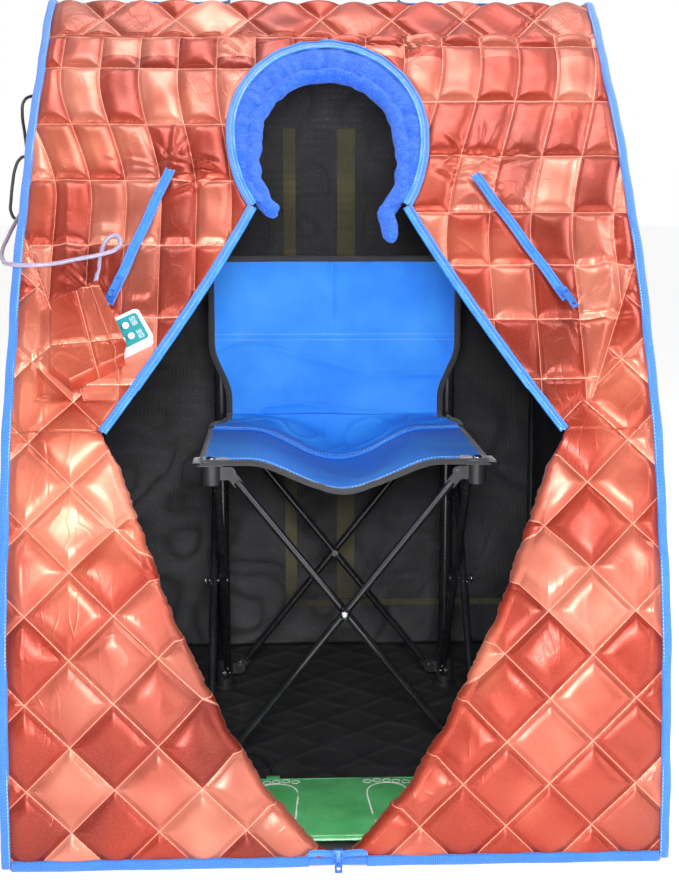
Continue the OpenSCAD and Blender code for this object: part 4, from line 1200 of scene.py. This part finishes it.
def collar():
    """A pleated fleece ring and the thick rolled band along its inner edge."""
    rows = 16
    points = []
    for t, inward in zip(np.linspace(0, 1, rows), np.linspace(0.0060, 0.036, rows)):
        low = -math.asin(min(0.99, (NECK_Z - 0.702) / (NECK_DOWN - inward)))
        a = np.linspace(math.pi - low, low, 240)
        pleat = np.sin(a * 15 + 1.8 * np.sin(a * 4)) + 0.4 * np.sin(a * 41 + 2)
        out = 0.0010 + 0.0036 * math.sin(math.pi * t) + 0.0034 * pleat * (0.15 + 0.85 * t) - 0.002 * t
        x, z = collar_arc(inward, a).T
        points.append(skin(x, z, out))
    top = np.array(points)
    under = top - 0.003 * outwards_at(top[:, :, 2].ravel()).reshape(top.shape)
    fleece = shell("collar_fleece", top, under, FLEECE)
    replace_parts(fleece, "neck_collar")
    collar_roll()


def collar_roll():
    """The rolled band: a horseshoe whose left end hooks in and whose right end hangs as a tab."""
    inward, radius, around = 0.0385, 0.0098, 20
    low = -math.asin((NECK_Z - 0.705) / (NECK_DOWN - inward))
    ring = collar_arc(inward, np.linspace(math.pi - low - 0.02, low - 0.02, 150))
    hook = ring[0] + np.array([(0.0075, -0.0065), (0.0035, -0.0055)])
    tab = ring[-1] + np.array([(0.0015, -0.010), (0.004, -0.022), (0.006, -0.034)])
    x, z = resample(np.concatenate([hook, ring, tab]), 0.0028).T
    line = skin(x, z, -0.0045)
    s = lengths(line)
    angle = np.linspace(0, 2 * math.pi, around, endpoint=False)[None, :]
    _, side, high = frames_along(line, outwards_at(z))
    lump = 1 + 0.10 * field(s[:, None], 0.012 * np.cos(angle), 131, 0.022)
    lump += 0.05 * np.sin(s * 190)[:, None] * np.cos(angle)
    ends = np.sqrt(np.clip(np.minimum(s, s[-1] - s) / 0.010, 0.02, 1))[:, None]
    thick = radius * lump * ends
    verts = (line[:, None] + (thick * np.cos(angle))[..., None] * side[:, None]
             + (thick * 0.86 * np.sin(angle))[..., None] * high[:, None])
    outwards(make("collar_roll", verts, tube_faces(len(line), around), FLEECE))


# ---------------------------------------------------------------- pocket and remote details
def pocket():
    """A satin patch pocket: its cover lies over the remote and its folded hem is the mouth."""
    origin, across, up, out = local_axes(*POCKET)
    mouth = np.array([(-0.008, 0.068), (0.004, 0.043), (0.017, 0.014), (0.029, -0.014), (0.026, -0.030)])
    far = np.array([(-0.056, 0.044), (-0.0565, 0.012), (-0.056, -0.038), (-0.042, -0.049), (-0.030, -0.060)])
    long, wide = 0.085, 0.06
    t = np.linspace(0, 1, 60)[:, None]
    u = np.linspace(0, 1, 64)[None, :]

    def spread(line):
        s = lengths(line)
        return [np.interp(t * s[-1], s, line[:, k]) for k in range(2)]
    p, q = (a * (1 - u) + b * u for a, b in zip(spread(mouth), spread(far)))
    slack = 0.0008 * field(p, q, 141, 0.03) + 0.0010 * creases(p, q, 142, 0.04, 9)
    edge = np.minimum(np.minimum(t, 1 - t) * long, (1 - u) * wide)
    rise = 0.0186 * smooth01((edge + 0.0004) / 0.0042)
    # two crossed seams, and the hem along the mouth
    upright, level = p * 0.9 + q * 0.25 + 0.012, q + 0.008 - 0.1 * p
    groove = 0.0018 * bell(np.minimum(np.abs(upright) * 0.9, np.abs(level)), 0.0016)
    hem = np.where(u * wide < 0.0105, 0.0011, 0.0) - 0.0012 * bell(u * wide - 0.0112, 0.0009)
    high = np.maximum(0.0009 + rise + slack * 0.8 - groove + hem, 0.0009)

    def lay(height):
        return origin + p[..., None] * across + q[..., None] * up + height[..., None] * out
    cells = np.stack([upright / EDGE, level / EDGE, np.full(p.shape, 9.0)], -1)
    cover = shell("pocket_cover", lay(high + 0.0006), lay(np.maximum(high - 0.0012, 0.0004)), COPPER, cells)
    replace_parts(cover, "remote_pocket")
    hem_column = 10
    line = lay(high + 0.0011)[:, hem_column]
    stitches("pocket_stitches", line, 0.0030, out, (0.0020, 0.0005, 0.0004), COPPER_THREAD)


# places on the remote, across and up it, and heights above the front
BUTTONS = [(0.017, 0.007), (0.017, -0.007), (0.006, 0.007), (0.006, -0.007)]
DISPLAY_X, DISPLAY_YS = 0.027, {0.0085: "58", -0.0085: "30"}
PANEL_TOP, BUTTON_TOP = 0.0162, 0.0174
SEGMENTS = {"0": "abcdef", "8": "abcdefg", "5": "afgcd", "3": "abgcd"}
# the digits are turned a quarter, so that their height runs along the remote; upright bars are long there
LEVEL_BARS = {"a": (0.0026, 0), "g": (0, 0), "d": (-0.0026, 0)}
UPRIGHT_BARS = {"b": (0.0013, -0.0015), "c": (-0.0013, -0.0015), "e": (-0.0013, 0.0015), "f": (0.0013, 0.0015)}


def bars(name, places, material, slot=None):
    """Small bevelled bars on the remote, each as centre, size, height and thickness, joined in one piece."""
    origin, across, up, out = local_axes(*REMOTE)
    verts = []
    for cx, cy, w, h, height, thick in places:
        for z, k in ((height, 1.0), (height + thick, 0.86)):
            verts += [origin + (cx + sx * w / 2 * k) * across + (cy + sy * h / 2 * k) * up + z * out
                      for sx, sy in ((-1, -1), (1, -1), (1, 1), (-1, 1))]
    faces = [[base + i for i in face] for base in range(0, len(verts), 8) for face in BRICK]
    outwards(make(name, verts, faces, material, smooth=False, slot=slot))


def remote_details():
    """Digits of seven bars on two windows, and a mark and a dot for each button."""
    digits = []
    for y, pair in DISPLAY_YS.items():
        for digit, shift in zip(pair, (0.0030, -0.0030)):
            for segment in SEGMENTS[digit]:
                dx, dy = {**LEVEL_BARS, **UPRIGHT_BARS}[segment]
                size = (0.0020, 0.0006) if segment in UPRIGHT_BARS else (0.0006, 0.0026)
                digits.append((DISPLAY_X + dx, y + shift + dy, *size, PANEL_TOP, 0.0003))
    windows = [(DISPLAY_X, y, 0.0078, 0.0128, PANEL_TOP - 0.0012, 0.0011) for y in DISPLAY_YS]
    bars("display_windows", windows, DISPLAY)
    bars("display_digits", digits, DIGIT)
    bars("button_marks", [(x - 0.0052, y + 0.0002, 0.0007, 0.0042, PANEL_TOP, 0.0002) for x, y in BUTTONS],
         BLACK_PLASTIC, slot="teal_face")
    origin, across, up, out = local_axes(*REMOTE)
    steps, section = 24, ((0.0012, 0.0), (0.0012, 0.00025), (0.0007, 0.00025), (0.0007, 0.0))
    for k, (x, y) in enumerate(BUTTONS):
        centre = origin + x * across + y * up + BUTTON_TOP * out
        ring = [centre + r * math.cos(a) * across + r * math.sin(a) * up + h * out
                for a in np.linspace(0, 2 * math.pi, steps, endpoint=False) for r, h in section]
        faces = [[i * 4 + m, j * 4 + m, j * 4 + n, i * 4 + n] for i, j in zip(range(steps), [*range(1, steps), 0])
                 for m, n in ((0, 1), (1, 2), (2, 3), (3, 0))]
        outwards(make(f"button_dot_{k + 1}", ring, faces, BLACK_PLASTIC, f"button_{k + 1}", slot="button_white"))


# ---------------------------------------------------------------- foot pad and floor
def pad_slab(lo, hi, radius=0.006, crown=0.0012, corner=0.012, steps=110):
    """The pad's upper and lower layers: rounded edges and corners, slightly crowned."""
    half, mid = (np.array(hi) - np.array(lo)) / 2, (np.array(hi) + np.array(lo)) / 2
    rows = max(20, int(steps * half[1] / half[0]))
    X, Y = np.meshgrid(np.linspace(-1, 1, steps), np.linspace(-1, 1, rows))
    px, py = X * half[0], Y * half[1]
    cx, cy = np.abs(px) - (half[0] - corner), np.abs(py) - (half[1] - corner)
    over = (cx > 0) & (cy > 0)
    r = np.hypot(np.maximum(cx, 0), np.maximum(cy, 0))
    pull = np.where(over & (r > corner), corner / np.maximum(r, 1e-9), 1.0)
    px = np.where(over, np.sign(px) * (half[0] - corner + cx * pull), px)
    py = np.where(over, np.sign(py) * (half[1] - corner + cy * pull), py)
    inset = np.minimum(half[0] - np.abs(px), half[1] - np.abs(py))
    inset = np.where(over, np.minimum(inset, corner - np.minimum(r * pull, corner)), inset)
    t = np.clip(inset / radius, 0, 1)
    curve = np.sqrt(np.clip(1 - (1 - t) ** 2, 0, 1))
    top = lo[2] + (hi[2] - lo[2] - crown) * (0.35 + 0.65 * curve) + crown * smooth01(inset / 0.05)
    top = top + 0.0004 * field(px, py, 151, 0.05) * t
    low = lo[2] + (hi[2] - lo[2]) * 0.28 * (1 - curve)
    return [np.stack([px + mid[0], py + mid[1], z], -1) for z in (top, low)]


def circle(cx, cy, z, rx, ry, count):
    return [(cx + rx * math.cos(a), cy + ry * math.sin(a), z) for a in np.linspace(0, 2 * math.pi, count)]


def foot_pad():
    """Heated mat with a white outline of each foot, piping round its edge and a tab where the cable goes in."""
    lo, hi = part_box("foot_pad")
    low, high = (lo.x, lo.y, lo.z + 0.0002), (hi.x, hi.y - 0.012, hi.z)
    pad = shell("foot_pad_vinyl", *pad_slab(low, high), PAD_GREEN)
    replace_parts(pad, "foot_pad")
    up = (0, 0, 1)
    mid_y, z = (low[1] + high[1]) / 2, hi.z + 0.0001
    sole_x, sole_line, toe_line = 0.062, oval(0.0022, 0.0006, 8, 1.0), oval(0.0016, 0.0006, 8, 1.0)
    for side, name in ((-1, "left"), (1, "right")):
        sole = []
        for a in np.linspace(0, 2 * math.pi, 90):
            c, s = math.cos(a), math.sin(a)
            width = 0.026 + 0.008 * s - 0.006 * math.cos(2 * a)
            sole.append((side * sole_x + side * 0.004 * s + width * c, mid_y + 0.062 * s, z))
        sweep(f"pad_sole_{name}", sole, up, sole_line, WHITE_PRINT)
        for k in range(5):
            toe_x, toe_y = side * (sole_x + 0.004 + (k - 2) * 0.0115), mid_y + 0.070 - abs(k - 1.2) * 0.0022
            toe = circle(toe_x, toe_y, z, 0.0046, 0.0046, 24)
            sweep(f"pad_toe_{name}_{k + 1}", toe, up, toe_line, WHITE_PRINT)
    cable_x = PAD_ROUTE[0][0] * MM
    tab = [(x, hi.y - 0.0064, lo.z + 0.0036) for x in np.linspace(cable_x - 0.008, cable_x + 0.008, 14)]
    sweep("pad_tab", tab, up, oval(0.0118, 0.0062, 14, 0.6), PAD_GREEN)
    piping, r, inset = [], 0.010, 0.004
    x0, x1, y0, y1 = low[0] + inset + r, high[0] - inset - r, low[1] + inset + r, high[1] - inset - r
    for cx, cy, start in ((x1, y1, 0), (x0, y1, 90), (x0, y0, 180), (x1, y0, 270)):
        piping += [(cx + r * math.cos(a), cy + r * math.sin(a), lo.z + 0.0064)
                   for a in np.radians(np.linspace(start, start + 90, 8))]
    sweep("pad_piping", resample(piping + piping[:1], 0.004), up, oval(0.0034, 0.0034, 10, 1.0), PAD_GREEN)


def floor():
    """Quilted floor cloth, flat under the chair and the pad, with a roll along its front edge."""
    lo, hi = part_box("floor_mat")
    x, y = np.linspace(lo.x + 0.001, hi.x - 0.001, 120), np.linspace(lo.y + 0.001, hi.y - 0.001, 130)
    X, Y = np.meshgrid(x, y)
    top = 0.0018 + puffed(diamond_gap(X, Y), 0.0018, 0.016, 2)[0] + 0.0004 * field(X, Y, 161, 0.05)
    chair = np.maximum(np.abs(X - 0.018), np.abs(Y - 0.022)) < 0.20
    pad = (np.abs(X) < 0.19) & (Y < -0.15)
    top = np.minimum(top, np.where(chair | pad, 0.0037, 0.0039))
    under = np.full(X.shape, 0.0002)
    mat = shell("floor_cloth", np.stack([X, Y, top], -1), np.stack([X, Y, under], -1), MAT_CLOTH)
    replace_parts(mat, "floor_mat")
    x = np.linspace(lo.x + 0.016, hi.x - 0.016, 130)
    path = np.stack([x, lo.y + 0.0105 + 0.0008 * np.sin(x * 40), 0.0088 + 0.0005 * np.sin(x * 27 + 1)], -1)
    sweep("floor_roll", path, (0, 0, 1), oval(0.0096, 0.0092, 16, 1.0), MAT_CLOTH)


# ---------------------------------------------------------------- chair
CORNER_X = (-0.142, 0.178)
CORNER_Y = (-0.138, 0.182)
STITCH_STEP = 0.0044


def folding(piece):
    """Gives a piece of the chair's cloth a mesh of its own."""
    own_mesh(piece)
    return piece


def chair_edge(name, line, up, size, body):
    """Black tape over an edge of the chair's cloth."""
    folding(sweep(name, line, up, oval(*size), CHAIR_EDGE, body=body))


def chair_stitches(name, line, up, body, size=(0.0030, 0.0007, 0.0006)):
    folding(stitches(name, line, STITCH_STEP, up, size, body=body, slot="chair_blue"))


def tuck(distance):
    """How deep a seam draws the cloth in, at a distance from it."""
    return 0.0011 * bell(distance, 0.0016)


def seat_height(x, y):
    """The sling's upper side: flat at its sides, hanging between them, tighter at its front edge."""
    lo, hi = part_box("seat_cloth")
    hang = 0.5 + 0.5 * np.cos(math.pi * np.clip(np.abs(x - (lo.x + hi.x) / 2) / 0.118, 0, 1))
    depth = 0.036 + 0.005 * np.sin(np.clip((y - lo.y) / (hi.y - lo.y), 0, 1) * math.pi)
    folds = 0.0022 * field(x * 0.8, y * 0.5, 171, 0.07) + 0.0016 * creases(x, y * 0.6, 172, 0.10, 8)
    return hi.z + 0.0002 - depth * hang + folds * hang


def seat_line(x, y, lift):
    """A line over the seat, lifted off it."""
    x, y = np.broadcast_arrays(x, y)
    return np.stack([x, y, seat_height(x, y) + lift], -1)


def seat():
    """The sling in a front and a rear half, with tape on its edges and a patch on each front corner."""
    lo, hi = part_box("seat_cloth")
    mid_y = (lo.y + hi.y) / 2
    xs = np.linspace(lo.x + 0.002, hi.x - 0.002, 130)
    halves = (("front", lo.y + 0.003, mid_y, "hub_fl", ["hub_fl", "hub_fr"]),
              ("rear", mid_y, hi.y - 0.002, "hub_rl", ["hub_rl", "hub_rr"]))
    for name, y0, y1, body, hubs in halves:
        X, Y = np.meshgrid(xs, np.linspace(y0, y1, 62))
        seams = tuck(Y - lo.y - 0.028) + tuck(X + 0.080) + tuck(X - 0.116)
        top = np.stack([X, Y, seat_height(X, Y) - seams], -1)
        cloth = shell(f"seat_cloth_{name}", top, top - np.array([0, 0, 0.0021]), CHAIR_CLOTH, body=body)
        if name == "front":
            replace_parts(cloth, "seat_cloth")
        folding(cloth)
        for side, x in (("left", lo.x + 0.003), ("right", hi.x - 0.003)):
            line = seat_line(x, np.linspace(y0, y1, 30), -0.0008)
            chair_edge(f"seat_edge_{name}_{side}", line, (0, 0, 1), (0.0075, 0.0052, 12, 0.7), body)
        for k, y in enumerate((lo.y + 0.024, lo.y + 0.029) if name == "front" else ()):
            chair_stitches(f"seat_stitches_{k + 1}", seat_line(xs, y, 0.0004), (0, 0, 1), body)
    line = seat_line(xs, lo.y + 0.004, -0.0012) - np.array([0, 0.0005, 0])
    chair_edge("seat_edge_front", line, (0, 0, 1), (0.0070, 0.0072, 14, 0.8), "hub_fl")
    reach = 0.021
    U, V = np.meshgrid(np.linspace(-1, 1, 16), np.linspace(-1, 1, 16))
    for name, x, body in (("left", CORNER_X[0], "hub_fl"), ("right", CORNER_X[1], "hub_fr")):
        X, Y = x + U * reach, CORNER_Y[0] + V * reach * 0.8 + 0.001
        Z = hi.z + 0.0016 + 0.0005 * field(X, Y, 181, 0.02) - 0.0012 * np.maximum(np.abs(U), np.abs(V)) ** 8
        patch = np.stack([X, Y, Z], -1)
        shell(f"seat_patch_{name}", patch, patch - np.array([0, 0, 0.0012]), PATCH, body=body)
        rivet(f"seat_rivet_{name}", (x, CORNER_Y[0], hi.z + 0.0018), (0, 0, 1), 0.0062, body)


def rivet(name, at, axis, radius, body):
    """A domed rivet head."""
    dome = [(1, -0.0004), (1, 0.0006), (0.86, 0.0016), (0.55, 0.0025), (0.2, 0.0029)]
    count = 24
    turn = Vector(axis).to_track_quat("Z", "Y")
    angles = np.linspace(0, 2 * math.pi, count, endpoint=False)
    verts = [Vector(at) + turn @ Vector((r * radius * math.cos(a), r * radius * math.sin(a), h))
             for r, h in dome for a in angles]
    outwards(make(name, verts, tube_faces(len(dome), count), RIVET, body=body))


def back_foot(top_edge):
    """The cloth that runs on from the back, curving forwards and out to a double seam across the seat."""
    lo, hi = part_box("seat_cloth")
    mid = (lo.x + hi.x) / 2
    rows, u = 34, np.linspace(-1, 1, len(top_edge))[None, :]
    v = np.linspace(0, 1, rows)[:, None]
    seam_y = hi.y - 0.085 + 0.020 * u ** 2
    half_seat, half_top = (hi.x - lo.x) / 2 - 0.004, abs(top_edge[0, 0] - mid)
    X = mid + u * (half_top + (half_seat - half_top) * smooth01((v - 0.30) / 0.62))
    end_z = seat_height(X, seam_y) + 0.0032
    ease = v ** 1.15
    Y = top_edge[:, 1] + (seam_y - top_edge[:, 1]) * ease ** 1.5
    Z = end_z + (top_edge[:, 2] - end_z) * (1 - ease) ** 1.9
    Z = Z + 0.0050 * creases(X * 1.2, v * 0.12, 193, 0.07, 7) * np.sin(math.pi * v)
    Z = Z + 0.0030 * field(X, v * 0.1, 194, 0.06) * np.sin(math.pi * v)
    face = np.stack([X, Y, np.maximum(Z, seat_height(X, Y) + 0.0028)], -1)
    cloth = shell("back_cloth_foot", face, face - np.array([0, 0, 0.0020]), CHAIR_CLOTH, body="hub_rl")
    folding(cloth)
    for name, line in (("left", face[:, 0]), ("right", face[:, -1])):
        chair_edge(f"back_foot_edge_{name}", line, (0, -0.5, 1), (0.0080, 0.0054, 14, 0.7), "hub_rl")
    for k, row in enumerate((rows - 4, rows - 2)):
        line = face[row] + np.array([0, -0.0002, 0.0005])
        chair_stitches(f"back_foot_stitches_{k + 1}", line, (0, 0, 1), "hub_rl", (0.0030, 0.0008, 0.0007))


def sleeve(name, x, body, low, high):
    """A sleeve of cloth round a back post."""
    z, around = np.linspace(low, high, 50)[:, None], 30
    a = np.linspace(0, 2 * math.pi, around, endpoint=False)[None, :]
    radius = 0.0110 + 0.0009 * field(z, 0.02 * np.cos(a), 201, 0.03)
    layers = [np.stack(np.broadcast_arrays(x + r * np.cos(a), CORNER_Y[1] + r * np.sin(a), z), -1)
              for r in (radius, radius - 0.0011)]
    rows = len(z)
    faces = grid_faces(rows, around, wrap=True) + grid_faces(rows, around, rows * around, flip=True, wrap=True)
    for start in (0, (rows - 1) * around):
        rim = [start + k for k in range(around)]
        faces += [[p, q, q + rows * around, p + rows * around] for p, q in zip(rim, rim[1:] + rim[:1])]
    outwards(make(name, layers, faces, CHAIR_CLOTH, body=body))


def backrest():
    """The back cloth: a waisted panel between the posts, a sleeve round each, black edging and seams."""
    lo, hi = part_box("back_cloth")
    mid = (lo.x + hi.x) / 2
    z = np.linspace(lo.z + 0.004, hi.z - 0.004, 84)
    t = ((z - lo.z) / (hi.z - lo.z))[:, None]
    u = np.linspace(-1, 1, 116)[None, :]
    X = mid + u * (0.1475 + 0.0235 * smooth01((t - 0.12) / 0.34))
    Z = np.broadcast_to(z[:, None], X.shape)
    slack = 0.0042 * field(X * 0.7, Z, 191, 0.09) * (1 - u ** 4)
    slack += 0.0042 * creases(X * 0.6, Z, 192, 0.09, 7) * (1.15 - t)
    slack += 0.0030 * bell(X - mid + 0.004, 0.0035) * smooth01((t - 0.45) / 0.2)
    sag = 0.010 * (1 - np.abs(u) ** 3) * smooth01(1.2 * t) - 0.006 * bell(t - 0.42, 0.10) * (1 - u ** 2)
    face = np.stack([X, CORNER_Y[1] - 0.0150 - slack + sag + tuck(Z - hi.z + 0.112), Z], -1)
    panel = shell("back_cloth_panel", face, face + np.array([0, 0.0022, 0]), CHAIR_CLOTH, body="foot_rl")
    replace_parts(panel, "back_cloth")
    folding(panel)
    back_foot(face[0])
    for name, x, body in (("left", CORNER_X[0], "foot_rl"), ("right", CORNER_X[1], "foot_rr")):
        sleeve(f"back_sleeve_{name}", x, body, lo.z + 0.46 * (hi.z - lo.z), hi.z - 0.006)
    for name, line in (("top", face[-1]), ("left", face[:, 0]), ("right", face[:, -1])):
        line = line + np.array([0, 0.0010, 0])
        chair_edge(f"back_edge_{name}", line, (0, -1, 0), (0.0085, 0.0056, 14, 0.7), "foot_rl")
    for k, at in enumerate((hi.z - 0.115, hi.z - 0.109)):
        line = face[int(np.argmin(np.abs(z - at)))] - np.array([0, 0.0005, 0])
        chair_stitches(f"back_stitches_{k + 1}", line, (0, -1, 0), "foot_rl")


def chair_rivets():
    """A bright rivet head where each pair of rods crosses."""
    foot, span, proud = 0.032, 0.345, 0.0162
    mid_x, mid_y, z = sum(CORNER_X) / 2, sum(CORNER_Y) / 2, foot + span / 2
    crossings = (("front", mid_x, CORNER_Y[0], (0, -1, 0)), ("rear", mid_x, CORNER_Y[1], (0, 1, 0)),
                 ("left", CORNER_X[0], mid_y, (-1, 0, 0)), ("right", CORNER_X[1], mid_y, (1, 0, 0)))
    for side, x, y, axis in crossings:
        at = (x + axis[0] * proud, y + axis[1] * proud, z)
        rivet(f"{side}_cross_rivet", at, axis, 0.0056, f"{side}_rod_a")


# ---------------------------------------------------------------- everything
studio()
cords()
finish_cad()
front()
walls()
lining()
heater_strips()
binding()
strap_handle()
zips()
arm_zips()
collar()
pocket()
remote_details()
foot_pad()
floor()
seat()
backrest()
chair_rivets()
